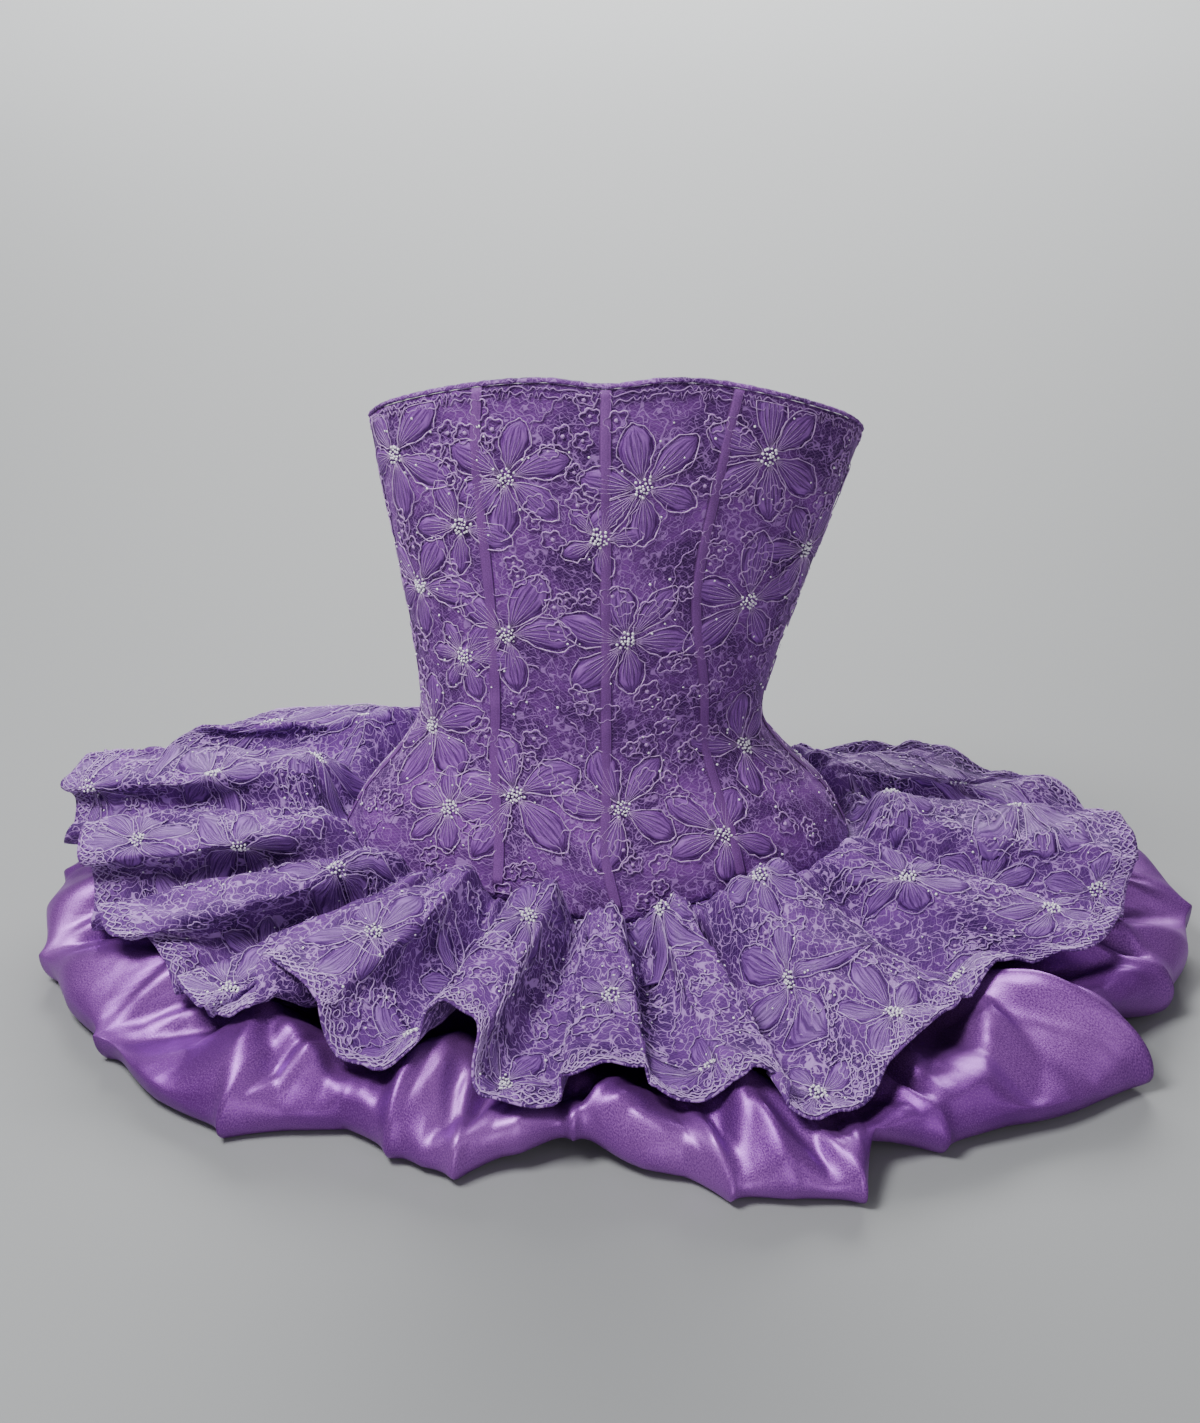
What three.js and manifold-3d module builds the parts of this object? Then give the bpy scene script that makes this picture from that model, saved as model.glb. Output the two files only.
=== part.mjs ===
// A short strapless formal dress that stands by itself on a table, with nobody in it.
// A boned bodice of eight panels rises from a gathered lace overskirt, which lies in
// rolls on a satin bubble skirt whose edge turns under and rests flat on the table.
//
// Millimetres, +Z up. The front faces -Y and the viewer's right is +X.
// A bearing is an angle in plan: 0 at the front, 90 at the right, 180 at the back.
import * as THREE from "three";
import { mergeVertices } from "three/addons/utils/BufferGeometryUtils.js";
import Module from "manifold-3d";

const wasm = await Module();
wasm.setup();

// Walls and seams
const BODICE_WALL = 2.4;
const LACE_WALL = 1.6;
const SATIN_WALL = 2;
const SEAM_GAP = 0.3;

// Bodice: the heights of its bottom edge, which has a point at the front
const BASQUE_EDGE = 92;
const BASQUE_POINT = 16;
const BASQUE_POINT_SPREAD = 15;
const BODICE_ROWS = 14;

// One row for each section of the bodice. The section is an ellipse: half is its half
// width, front and back its depths, shift and lean place its centre in X and Y, and
// the last three are where the centre seam and the two front princess seams cross it.
const BODICE_SECTIONS = [
  { height: 60, half: 215, front: 112, back: 112, shift: -7, lean: -6, centre: 6, left: -20, right: 33 },
  { height: 95, half: 198, front: 105, back: 104, shift: -7, lean: -4, centre: 4, left: -22, right: 34 },
  { height: 130, half: 179, front: 94, back: 94, shift: -7, lean: -2, centre: 2, left: -24, right: 35 },
  { height: 165, half: 148, front: 83, back: 84, shift: -10, lean: -1, centre: 4, left: -29, right: 39 },
  { height: 195, half: 131, front: 77, back: 77, shift: -11, lean: 0, centre: 5, left: -33, right: 41 },
  { height: 245, half: 136, front: 78, back: 78, shift: -7, lean: 2, centre: 3, left: -33, right: 36 },
  { height: 320, half: 153, front: 82, back: 82, shift: 0, lean: 6, centre: 0, left: -33, right: 25 },
  { height: 430, half: 179, front: 86, back: 84, shift: 9, lean: 11, centre: -3, left: -34, right: 24 },
  { height: 490, half: 186, front: 84, back: 84, shift: 13, lean: 14, centre: -4, left: -33, right: 26 },
];
// One row for each place where the top edge's height is known
const NECKLINE = [
  { bearing: -180, height: 398 },
  { bearing: -140, height: 402 },
  { bearing: -90, height: 430 },
  { bearing: -62, height: 456 },
  { bearing: -36, height: 477 },
  { bearing: -18, height: 485 },
  { bearing: -4, height: 482 },
  { bearing: 10, height: 486 },
  { bearing: 25, height: 480 },
  { bearing: 58, height: 450 },
  { bearing: 90, height: 419 },
  { bearing: 140, height: 400 },
];
// The seams that the table doesn't give, as bearings round the section
const SIDE_SEAM = 92;
const SIDE_BACK_SEAM = 138;

// Bone casings: satin strips over the seams, with the bone inside
const CASING_WIDTH = 8;
const CASING_RISE = 1.5;
const CASING_FIRST_ROW = 0.35;

// Neckline binding: a rolled edge along the top
const BINDING_RADIAL = 2.8;
const BINDING_UPRIGHT = 2;
const BINDING_SIDES = 6;
const BINDING_END = 1.2;
const BINDING_SEAT = 1.1;

// Centre back zip
const ZIP_WIDTH = 7;
const ZIP_RISE = 1.4;
const ZIP_FIRST_ROW = 1;
const SLIDER = { width: 6, height: 9, depth: 2.4 };
const SLIDER_DROP = 14;
const HINGE_REACH = 2.7;
const PIN_RADIUS = 0.6;
const EYE = { outer: 2.1, inner: 1.05, width: 2.2 };
const PULL = { width: 5, length: 20, thickness: 1.2 };

// Skirts: both hang from the bodice's lower edge, whose middle is the pole of the plan
const POLE = { x: -7, y: -5 };
const SEAM_RING = { half: 193, depth: 100 };
const LACE_DROP = 1.6;
const SATIN_DROP = LACE_DROP + LACE_WALL + SEAM_GAP + 0.1;
const SEAM_ALLOWANCE = 4.5;
const SEAM_FLAT = 6.5;
const FLAT_SHARE = 0.03;

// Lace overskirt: a crest and a dip in turn, from the back round by the left side. Each
// leaves the seam at the bearing seam and meets the hem at bearing, reach from the pole
// and rise above the table. Puff is its height beside the bodice, and lean is how far
// the flanks of its roll lean out.
const LACE_STATIONS = [
  { seam: -176, bearing: -175, reach: 176, rise: 96, puff: 152, lean: 8 },
  { seam: -164, bearing: -163, reach: 190, rise: 68, puff: 104, lean: 8 },
  { seam: -151, bearing: -150, reach: 205, rise: 100, puff: 144, lean: 9 },
  { seam: -137, bearing: -134, reach: 258, rise: 74, puff: 102, lean: 9 },
  { seam: -122, bearing: -118, reach: 324, rise: 119, puff: 146, lean: 12 },
  { seam: -107, bearing: -109, reach: 398, rise: 84, puff: 104, lean: 12 },
  { seam: -93, bearing: -101, reach: 434, rise: 110, puff: 140, lean: 14 },
  { seam: -83, bearing: -94, reach: 424, rise: 72, puff: 96, lean: 14 },
  { seam: -72, bearing: -87, reach: 403, rise: 102, puff: 130, lean: 14 },
  { seam: -65, bearing: -80, reach: 393, rise: 50, puff: 82, lean: 14 },
  { seam: -59, bearing: -73, reach: 387, rise: 84, puff: 118, lean: 12 },
  { seam: -53, bearing: -66, reach: 350, rise: 40, puff: 70, lean: 12 },
  { seam: -49, bearing: -58, reach: 350, rise: 70, puff: 108, lean: 8 },
  { seam: -45, bearing: -51, reach: 334, rise: 36, puff: 60, lean: 8 },
  { seam: -39, bearing: -50, reach: 292, rise: 94, puff: 118, lean: 18 },
  { seam: -33, bearing: -28, reach: 302, rise: 34, puff: 70, lean: 18 },
  { seam: -14, bearing: -24, reach: 248, rise: 92, puff: 118, lean: 19 },
  { seam: -5, bearing: -11, reach: 304, rise: 32, puff: 70, lean: 19 },
  { seam: 4, bearing: 1, reach: 264, rise: 60, puff: 100, lean: 10 },
  { seam: 13, bearing: 14, reach: 293, rise: 34, puff: 56, lean: 10 },
  { seam: 24, bearing: 22, reach: 302, rise: 62, puff: 104, lean: 10 },
  { seam: 34, bearing: 28, reach: 340, rise: 34, puff: 60, lean: 10 },
  { seam: 49, bearing: 47, reach: 324, rise: 66, puff: 118, lean: 6 },
  { seam: 62, bearing: 62, reach: 338, rise: 46, puff: 72, lean: 6 },
  { seam: 70, bearing: 72, reach: 402, rise: 80, puff: 114, lean: 7 },
  { seam: 77, bearing: 80, reach: 411, rise: 56, puff: 66, lean: 7 },
  { seam: 88, bearing: 90, reach: 424, rise: 91, puff: 114, lean: 10 },
  { seam: 99, bearing: 101, reach: 396, rise: 66, puff: 72, lean: 10 },
  { seam: 113, bearing: 112, reach: 340, rise: 82, puff: 112, lean: 10 },
  { seam: 126, bearing: 126, reach: 266, rise: 62, puff: 72, lean: 10 },
  { seam: 140, bearing: 141, reach: 212, rise: 80, puff: 124, lean: 9 },
  { seam: 152, bearing: 154, reach: 200, rise: 60, puff: 82, lean: 9 },
  { seam: 165, bearing: 167, reach: 184, rise: 92, puff: 150, lean: 6 },
  { seam: 175, bearing: 176, reach: 184, rise: 62, puff: 102, lean: 6 },
];
const LACE_STEPS_PER_STATION = 4;
const LACE_ROWS = [0, FLAT_SHARE, 0.08, 0.16, 0.28, 0.43, 0.61, 0.8, 1];
const PUFF_SHARE = 0.2;
const CREST_BREADTH = 0.2;
const GATHER_DEPTH = 4;
const GATHER_FULL_SHARE = 0.1;
const GATHER_END_SHARE = 0.55;
const LEAN_FULL_SHARE = 0.6;
const CLEAR_SHARE = 0.12;
const LACE_CLEARANCE = 10;
const LACE_EASE = 7;

// Satin bubble skirt: one row for each corner, lobe or notch of its outline. Reach is
// from the pole, lift is how far the edge is off the table there, and belly is the
// height at which the lobe reaches furthest out.
const SATIN_OUTLINE = [
  { bearing: -180, reach: 214, lift: 0, belly: 34 },
  { bearing: -160, reach: 228, lift: 0, belly: 38 },
  { bearing: -140, reach: 268, lift: 0, belly: 38 },
  { bearing: -124, reach: 338, lift: 0, belly: 38 },
  { bearing: -112, reach: 398, lift: 0, belly: 40 },
  { bearing: -100, reach: 422, lift: 2, belly: 42 },
  { bearing: -92, reach: 430, lift: 3, belly: 40 },
  { bearing: -86, reach: 440, lift: 0, belly: 34 },
  { bearing: -80, reach: 439, lift: 0, belly: 24 },
  { bearing: -73, reach: 425, lift: 0, belly: 22 },
  { bearing: -64, reach: 411, lift: 0, belly: 24 },
  { bearing: -54, reach: 397, lift: 0, belly: 20 },
  { bearing: -44, reach: 382, lift: 0, belly: 12 },
  { bearing: -39, reach: 350, lift: 0, belly: 18 },
  { bearing: -34, reach: 324, lift: 0, belly: 16 },
  { bearing: -26, reach: 334, lift: 0, belly: 14 },
  { bearing: -17, reach: 338, lift: 0, belly: 12 },
  { bearing: -12, reach: 318, lift: 6, belly: 18 },
  { bearing: -3, reach: 299, lift: 14, belly: 16 },
  { bearing: 4, reach: 312, lift: 4, belly: 14 },
  { bearing: 11, reach: 331, lift: 0, belly: 12 },
  { bearing: 15, reach: 357, lift: 0, belly: 12 },
  { bearing: 22, reach: 373, lift: 0, belly: 14 },
  { bearing: 28, reach: 391, lift: 0, belly: 10 },
  { bearing: 33, reach: 360, lift: 14, belly: 18 },
  { bearing: 40, reach: 382, lift: 0, belly: 16 },
  { bearing: 48, reach: 402, lift: 4, belly: 20 },
  { bearing: 56, reach: 434, lift: 0, belly: 16 },
  { bearing: 62, reach: 457, lift: 2, belly: 12 },
  { bearing: 67, reach: 420, lift: 20, belly: 20 },
  { bearing: 73, reach: 452, lift: 4, belly: 20 },
  { bearing: 80, reach: 468, lift: 0, belly: 26 },
  { bearing: 87, reach: 473, lift: 0, belly: 36 },
  { bearing: 94, reach: 452, lift: 2, belly: 44 },
  { bearing: 104, reach: 420, lift: 2, belly: 42 },
  { bearing: 116, reach: 372, lift: 0, belly: 40 },
  { bearing: 130, reach: 302, lift: 0, belly: 38 },
  { bearing: 150, reach: 238, lift: 0, belly: 38 },
];
// One row for each part of the way round: how high the satin lies in the hollow beside
// the bodice and on the lobe near its edge
const SATIN_CROWN = [
  { bearing: -180, hollow: 46, lobe: 60 },
  { bearing: -130, hollow: 40, lobe: 64 },
  { bearing: -95, hollow: 28, lobe: 66 },
  { bearing: -70, hollow: 18, lobe: 48 },
  { bearing: -45, hollow: 14, lobe: 42 },
  { bearing: 0, hollow: 12, lobe: 38 },
  { bearing: 30, hollow: 12, lobe: 42 },
  { bearing: 60, hollow: 16, lobe: 52 },
  { bearing: 90, hollow: 26, lobe: 70 },
  { bearing: 130, hollow: 40, lobe: 66 },
];
// One row for each fold of the satin: a ridge, or a trough where rise is negative, from
// one place of the plan to another
const SATIN_FOLDS = [
  { from: -51, fromReach: 305, to: -44, toReach: 382, rise: 30, width: 44 },
  { from: -51, fromReach: 305, to: -27, toReach: 333, rise: 30, width: 40 },
  { from: -68, fromReach: 340, to: -75, toReach: 424, rise: 20, width: 44 },
  { from: -88, fromReach: 345, to: -84, toReach: 434, rise: 20, width: 44 },
  { from: -24, fromReach: 235, to: -27, toReach: 322, rise: 30, width: 40 },
  { from: 3, fromReach: 286, to: -16, toReach: 338, rise: 32, width: 38 },
  { from: 3, fromReach: 286, to: 12, toReach: 331, rise: 26, width: 32 },
  { from: 21, fromReach: 280, to: 21, toReach: 356, rise: 28, width: 28 },
  { from: 30, fromReach: 360, to: 28, toReach: 391, rise: 22, width: 22 },
  { from: 30, fromReach: 366, to: 47, toReach: 375, rise: 20, width: 32 },
  { from: 47, fromReach: 375, to: 58, toReach: 335, rise: 22, width: 36 },
  { from: 61, fromReach: 325, to: 62, toReach: 457, rise: 32, width: 42 },
  { from: 67, fromReach: 402, to: 62, toReach: 457, rise: 18, width: 24 },
  { from: 67, fromReach: 402, to: 74, toReach: 446, rise: 22, width: 30 },
  { from: 80, fromReach: 390, to: 85, toReach: 468, rise: -20, width: 26 },
  { from: 76, fromReach: 375, to: 80, toReach: 464, rise: 18, width: 40 },
  { from: 100, fromReach: 330, to: 104, toReach: 418, rise: 20, width: 44 },
  { from: 122, fromReach: 270, to: 116, toReach: 370, rise: 20, width: 44 },
  { from: 146, fromReach: 190, to: 150, toReach: 236, rise: 18, width: 34 },
  { from: 178, fromReach: 170, to: 180, toReach: 212, rise: 18, width: 34 },
  { from: -158, fromReach: 180, to: -160, toReach: 226, rise: 18, width: 34 },
  { from: -130, fromReach: 240, to: -124, toReach: 336, rise: 20, width: 44 },
  { from: -108, fromReach: 320, to: -112, toReach: 396, rise: 20, width: 44 },
  { from: -38, fromReach: 300, to: -36, toReach: 330, rise: -16, width: 26 },
  { from: -58, fromReach: 320, to: -62, toReach: 405, rise: -16, width: 30 },
  { from: -4, fromReach: 260, to: -5, toReach: 300, rise: -14, width: 24 },
  { from: 34, fromReach: 310, to: 33, toReach: 352, rise: -18, width: 24 },
  { from: 68, fromReach: 330, to: 68, toReach: 418, rise: -18, width: 24 },
  { from: -79, fromReach: 350, to: -80, toReach: 432, rise: -16, width: 28 },
  { from: 52, fromReach: 320, to: 50, toReach: 398, rise: -16, width: 28 },
];
const SATIN_STEPS_PER_ROW = 3;
const SATIN_TOP_ROWS = 10;
const SATIN_UNDER_ROWS = 3;
const CORNER_SHARE = 0.5;
const SATIN_INSET = 14;
const SATIN_TUCK = 62;
const LOBE_ROUNDNESS = 2.2;
const FOLD_ROUNDING = 2.5;
const FOLD_REACH = 7;
const FOLD_START_SHARE = 0.3;
const HOLLOW_SHARE = 0.4;
const LOBE_START_SHARE = 0.35;
const LEAST_LOBE = 4;
const TOP_SHARE = 0.72;
const UNDER_SHARE = 0.88;
const TUCK_PART = 0.55;
const LAST_TOP_SHARE = 0.97;

// The whole dress is moved by this much so that the middle of its box is over the origin
const STAND = { x: -9.5, y: 68.5 };

const COLOURS = {
  lace: 0x6b4690,
  satin: 0x7f47a8,
  casing: 0x8554a6,
  binding: 0x5a3680,
  zip: 0x6b4690,
  metal: 0x9a86a8,
};

const { degToRad, radToDeg, lerp, smoothstep, clamp } = THREE.MathUtils;
const ease = (x) => smoothstep(x, 0, 1);

// A smooth curve through values at keys, both given as columns of a table. With a
// period it runs on for ever, and each period adds turn to the value.
function curveThrough(rows, key, value, period = 0, turn = 0) {
  const keys = rows.map((row) => row[key]);
  const values = rows.map((row) => row[value]);
  const count = rows.length;
  const wrapped = (i) => {
    if (!period) {
      const j = clamp(i, 0, count - 1);
      return [keys[j], values[j]];
    }
    const laps = Math.floor(i / count);
    const j = i - laps * count;
    return [keys[j] + laps * period, values[j] + laps * turn];
  };
  const slope = (i) => {
    const [x0, y0] = wrapped(i - 1);
    const [x1, y1] = wrapped(i + 1);
    return (y1 - y0) / (x1 - x0);
  };
  return (x) => {
    let laps = 0;
    if (period) {
      laps = Math.floor((x - keys[0]) / period);
      x -= laps * period;
    } else {
      x = clamp(x, keys[0], keys[count - 1]);
    }
    let i = count - 1;
    while (i > 0 && keys[i] > x) i -= 1;
    if (!period) i = Math.min(i, count - 2);
    const [x0, y0] = wrapped(i);
    const [x1, y1] = wrapped(i + 1);
    const span = x1 - x0;
    const s = (x - x0) / span;
    const start = slope(i) * span;
    const end = slope(i + 1) * span;
    const bend = s * s * (3 - 2 * s);
    const made = y0 * (1 - bend) + y1 * bend;
    return made + s * (1 - s) * ((1 - s) * start - s * end) + laps * turn;
  };
}

// The same, but with straight stretches between the rows
function linesThrough(rows, key, value, period) {
  return (x) => {
    const first = rows[0][key];
    const from = x - Math.floor((x - first) / period) * period;
    let i = rows.length - 1;
    while (i > 0 && rows[i][key] > from) i -= 1;
    const next = rows[(i + 1) % rows.length];
    const end = next[key] + (i + 1 === rows.length ? period : 0);
    const s = (from - rows[i][key]) / (end - rows[i][key]);
    return lerp(rows[i][value], next[value], s);
  };
}

// A closed wall: its outer face is pointAt(u, v) on the grid of us and vs, and its
// inner face lies wall behind it. A panel's v runs up. A ring joins its last column to
// its first, and its v runs outwards, so its outer face is on the other side.
function wallOf(pointAt, us, vs, wall, ring = false) {
  const step = 0.002;
  const facing = ring ? 1 : -1;
  const outer = [];
  const inner = [];
  for (const u of us) {
    for (const v of vs) {
      const p = pointAt(u, v);
      const along = pointAt(u + step, v).sub(pointAt(u - step, v));
      const across = pointAt(u, Math.min(v + step, 1)).sub(pointAt(u, Math.max(v - step, 0)));
      const normal = along.cross(across).normalize();
      outer.push(p);
      inner.push(p.clone().addScaledVector(normal, facing * wall));
    }
  }
  const rows = vs.length;
  const columns = us.length;
  const faces = [];
  const behind = outer.length;
  const quad = (a, b, c, d) => faces.push(a, b, c, a, c, d);
  const stretches = ring ? columns : columns - 1;
  for (let i = 0; i < stretches; i += 1) {
    const here = i * rows;
    const there = ((i + 1) % columns) * rows;
    for (let j = 0; j < rows - 1; j += 1) {
      quad(here + j, there + j, there + j + 1, here + j + 1);
      quad(behind + here + j, behind + here + j + 1, behind + there + j + 1, behind + there + j);
    }
    const top = rows - 1;
    quad(here, behind + here, behind + there, there);
    quad(here + top, there + top, behind + there + top, behind + here + top);
  }
  if (!ring) {
    const last = (columns - 1) * rows;
    for (let j = 0; j < rows - 1; j += 1) {
      quad(j, j + 1, behind + j + 1, behind + j);
      quad(last + j, behind + last + j, behind + last + j + 1, last + j + 1);
    }
  }
  return solidFrom([...outer, ...inner], faces);
}

// A closed bar: sectionAt(i) gives the points of each of its sections, in order
function barOf(sectionAt, count) {
  const sections = [];
  for (let i = 0; i < count; i += 1) sections.push(sectionAt(i));
  const sides = sections[0].length;
  const faces = [];
  for (let i = 0; i < count - 1; i += 1) {
    for (let j = 0; j < sides; j += 1) {
      const a = i * sides + j;
      const b = i * sides + ((j + 1) % sides);
      faces.push(a, b, b + sides, a, b + sides, a + sides);
    }
  }
  const last = (count - 1) * sides;
  for (let j = 1; j < sides - 1; j += 1) {
    faces.push(0, j + 1, j);
    faces.push(last, last + j, last + j + 1);
  }
  return solidFrom(sections.flat(), faces);
}

// A geometry of points and faces, turned round if its faces point inwards
function solidFrom(points, faces) {
  let volume = 0;
  for (let i = 0; i < faces.length; i += 3) {
    const [a, b, c] = [points[faces[i]], points[faces[i + 1]], points[faces[i + 2]]];
    volume += a.dot(b.clone().cross(c));
  }
  const index = [...faces];
  if (volume < 0) {
    for (let i = 0; i < index.length; i += 3) {
      [index[i + 1], index[i + 2]] = [index[i + 2], index[i + 1]];
    }
  }
  const geometry = new THREE.BufferGeometry().setFromPoints(points);
  geometry.setIndex(index);
  geometry.computeVertexNormals();
  return geometry;
}

// The bodice's sections and edges
const section = {};
for (const name of ["half", "front", "back", "shift", "lean", "centre", "left", "right"]) {
  section[name] = curveThrough(BODICE_SECTIONS, "height", name);
}

const topEdge = curveThrough(NECKLINE, "bearing", "height", 360);

function bottomEdge(bearing) {
  const centre = section.centre(BASQUE_EDGE);
  const off = (bearing - centre) / BASQUE_POINT_SPREAD;
  return BASQUE_EDGE - BASQUE_POINT * Math.exp(-(off ** 2));
}

// A point of the bodice's outer face at a bearing and a height
function bodiceAtHeight(bearing, height) {
  const angle = degToRad(bearing);
  const depth = Math.cos(angle) > 0 ? section.front(height) : section.back(height);
  return new THREE.Vector3(
    section.shift(height) + section.half(height) * Math.sin(angle),
    section.lean(height) - depth * Math.cos(angle),
    height,
  );
}

// A point of the bodice's outer face: share runs from its bottom edge to its top edge
function bodicePoint(bearing, share) {
  const turned = bearing > 180 ? bearing - 360 : bearing < -180 ? bearing + 360 : bearing;
  return bodiceAtHeight(turned, lerp(bottomEdge(turned), topEdge(turned), share));
}

function bodiceNormal(bearing, share) {
  const across = bodicePoint(bearing + 0.2, share).sub(bodicePoint(bearing - 0.2, share));
  const up = bodicePoint(bearing, Math.min(share + 0.01, 1));
  up.sub(bodicePoint(bearing, Math.max(share - 0.01, 0)));
  return across.cross(up).normalize();
}

// How far one degree of bearing goes along the bodice, in millimetres
function bodiceDegree(bearing, share) {
  return bodicePoint(bearing + 0.5, share).distanceTo(bodicePoint(bearing - 0.5, share));
}

// The bearing of each seam, by the share of the way up the bodice
const heightOf = (bearing, share) => lerp(bottomEdge(bearing), topEdge(bearing), share);
const SEAMS = {
  centre_back_left: () => -180,
  side_back_left: () => -SIDE_BACK_SEAM,
  side_left: () => -SIDE_SEAM,
  princess_left: (share) => section.left(heightOf(-30, share)),
  centre_front: (share) => section.centre(heightOf(0, share)),
  princess_right: (share) => section.right(heightOf(30, share)),
  side_right: () => SIDE_SEAM,
  side_back_right: () => SIDE_BACK_SEAM,
  centre_back_right: () => 180,
};
const PANELS = [
  { name: "centre_back_left", from: "centre_back_left", to: "side_back_left", columns: 5 },
  { name: "side_back_left", from: "side_back_left", to: "side_left", columns: 6 },
  { name: "side_front_left", from: "side_left", to: "princess_left", columns: 7 },
  { name: "centre_front_left", from: "princess_left", to: "centre_front", columns: 4 },
  { name: "centre_front_right", from: "centre_front", to: "princess_right", columns: 4 },
  { name: "side_front_right", from: "princess_right", to: "side_right", columns: 8 },
  { name: "side_back_right", from: "side_right", to: "side_back_right", columns: 6 },
  { name: "centre_back_right", from: "side_back_right", to: "centre_back_right", columns: 5 },
];
const CASINGS = [
  "side_back_left",
  "side_left",
  "princess_left",
  "centre_front",
  "princess_right",
  "side_right",
  "side_back_right",
];
const shares = (count) => Array.from({ length: count + 1 }, (_, i) => i / count);

// The bearings of the panels' columns at a share of the way up, once round
function columnBearings(share) {
  const bearings = PANELS.flatMap(({ from, to, columns }) => {
    const [start, end] = [SEAMS[from](share), SEAMS[to](share)];
    return shares(columns).slice(0, -1).map((u) => lerp(start, end, u));
  });
  return [...bearings, 180];
}

// A point just inside the panels' wall, on the straight sides of their lower edge
const EDGE = columnBearings(0).map((bearing) => {
  const inward = bodiceNormal(bearing, 0).setZ(0).normalize();
  return { bearing, point: bodicePoint(bearing, 0).addScaledVector(inward, -SEAM_ALLOWANCE) };
});

function underEdge(bearing) {
  const turned = bearing - 360 * Math.floor((bearing + 180) / 360);
  let i = 0;
  while (i < EDGE.length - 2 && EDGE[i + 1].bearing < turned) i += 1;
  const [a, b] = [EDGE[i], EDGE[i + 1]];
  return a.point.clone().lerp(b.point, (turned - a.bearing) / (b.bearing - a.bearing));
}

function bodicePanel({ from, to, columns }) {
  const pointAt = (u, v) => {
    const start = SEAMS[from](v);
    const end = SEAMS[to](v);
    const startGap = SEAM_GAP / 2 / bodiceDegree(start, v);
    const endGap = SEAM_GAP / 2 / bodiceDegree(end, v);
    return bodicePoint(lerp(start + startGap, end - endGap, u), v);
  };
  return wallOf(pointAt, shares(columns), shares(BODICE_ROWS), BODICE_WALL);
}

// A strip that lies over a seam: the panels' points moved out, with rounded edges
function stripOver(seam, width, rise, firstRow) {
  const outline = [
    [-0.5, SEAM_GAP],
    [-0.5, rise * 0.6],
    [-0.2, rise],
    [0.2, rise],
    [0.5, rise * 0.6],
    [0.5, SEAM_GAP],
  ];
  return barOf((i) => {
    const share = Math.max(firstRow, i + Math.floor(firstRow)) / BODICE_ROWS;
    const bearing = SEAMS[seam](share);
    const degree = bodiceDegree(bearing, share);
    return outline.map(([side, lift]) => {
      const at = bearing + (side * width) / degree;
      const normal = bodiceNormal(at, share);
      return bodicePoint(at, share).addScaledVector(normal, lift + SEAM_GAP);
    });
  }, BODICE_ROWS + 1 - Math.floor(firstRow));
}

function necklineBinding() {
  const inner = columnBearings(1).slice(1, -1);
  const bearings = [BINDING_END - 180, ...inner, 180 - BINDING_END];
  return barOf((i) => {
    const bearing = bearings[i];
    const normal = bodiceNormal(bearing, 1).setZ(0).normalize();
    const middle = bodicePoint(bearing, 1).addScaledVector(normal, -BODICE_WALL / 2);
    middle.z += SEAM_GAP + BINDING_UPRIGHT * BINDING_SEAT;
    return Array.from({ length: BINDING_SIDES }, (_, j) => {
      const angle = ((j + 0.5) / BINDING_SIDES) * Math.PI * 2;
      const point = middle.clone().addScaledVector(normal, BINDING_RADIAL * Math.cos(angle));
      point.z += BINDING_UPRIGHT * Math.sin(angle);
      return point;
    });
  }, bearings.length);
}

// The satin skirt
function outlineOf(name) {
  const straight = linesThrough(SATIN_OUTLINE, "bearing", name, 360);
  const smooth = curveThrough(SATIN_OUTLINE, "bearing", name, 360);
  return (bearing) => Math.max(lerp(smooth(bearing), straight(bearing), CORNER_SHARE), 0);
}

const satin = {
  reach: outlineOf("reach"),
  lift: outlineOf("lift"),
  belly: outlineOf("belly"),
  hollow: curveThrough(SATIN_CROWN, "bearing", "hollow", 360),
  lobe: curveThrough(SATIN_CROWN, "bearing", "lobe", 360),
};

function planPoint(bearing, reach) {
  const angle = degToRad(bearing);
  return new THREE.Vector2(
    POLE.x + reach * Math.sin(angle),
    POLE.y - reach * Math.cos(angle),
  );
}

// How far the seam's ring is from the pole
function ringReach(bearing) {
  const angle = degToRad(bearing);
  const across = Math.sin(angle) / SEAM_RING.half;
  const along = Math.cos(angle) / SEAM_RING.depth;
  return 1 / Math.hypot(across, along);
}

// The bearing of the bodice's section that lies over a bearing from the pole
function sectionBearing(bearing) {
  const angle = degToRad(bearing);
  const across = Math.sin(angle) / SEAM_RING.half;
  const along = Math.cos(angle) / SEAM_RING.depth;
  return radToDeg(Math.atan2(across, along));
}

// The height that the satin's folds add at a place of the plan: each is a tent along
// its line, rounded at the top
const FOLD_LINES = SATIN_FOLDS.map((fold) => ({
  start: planPoint(fold.from, fold.fromReach),
  end: planPoint(fold.to, fold.toReach),
  rise: fold.rise,
  width: fold.width,
}));

function foldHeight(x, y) {
  let ridge = 0;
  let trough = 0;
  for (const { start, end, rise, width } of FOLD_LINES) {
    const [dx, dy] = [end.x - start.x, end.y - start.y];
    const t = ((x - start.x) * dx + (y - start.y) * dy) / (dx * dx + dy * dy);
    const s = clamp(t, 0, 1);
    const off = Math.hypot(x - start.x - s * dx, y - start.y - s * dy);
    const tent = 1 - (Math.hypot(off, FOLD_ROUNDING) - FOLD_ROUNDING) / width;
    if (tent <= 0) continue;
    ridge = Math.max(ridge, rise * tent);
    trough = Math.min(trough, rise * tent);
  }
  return ridge + trough;
}

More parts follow.
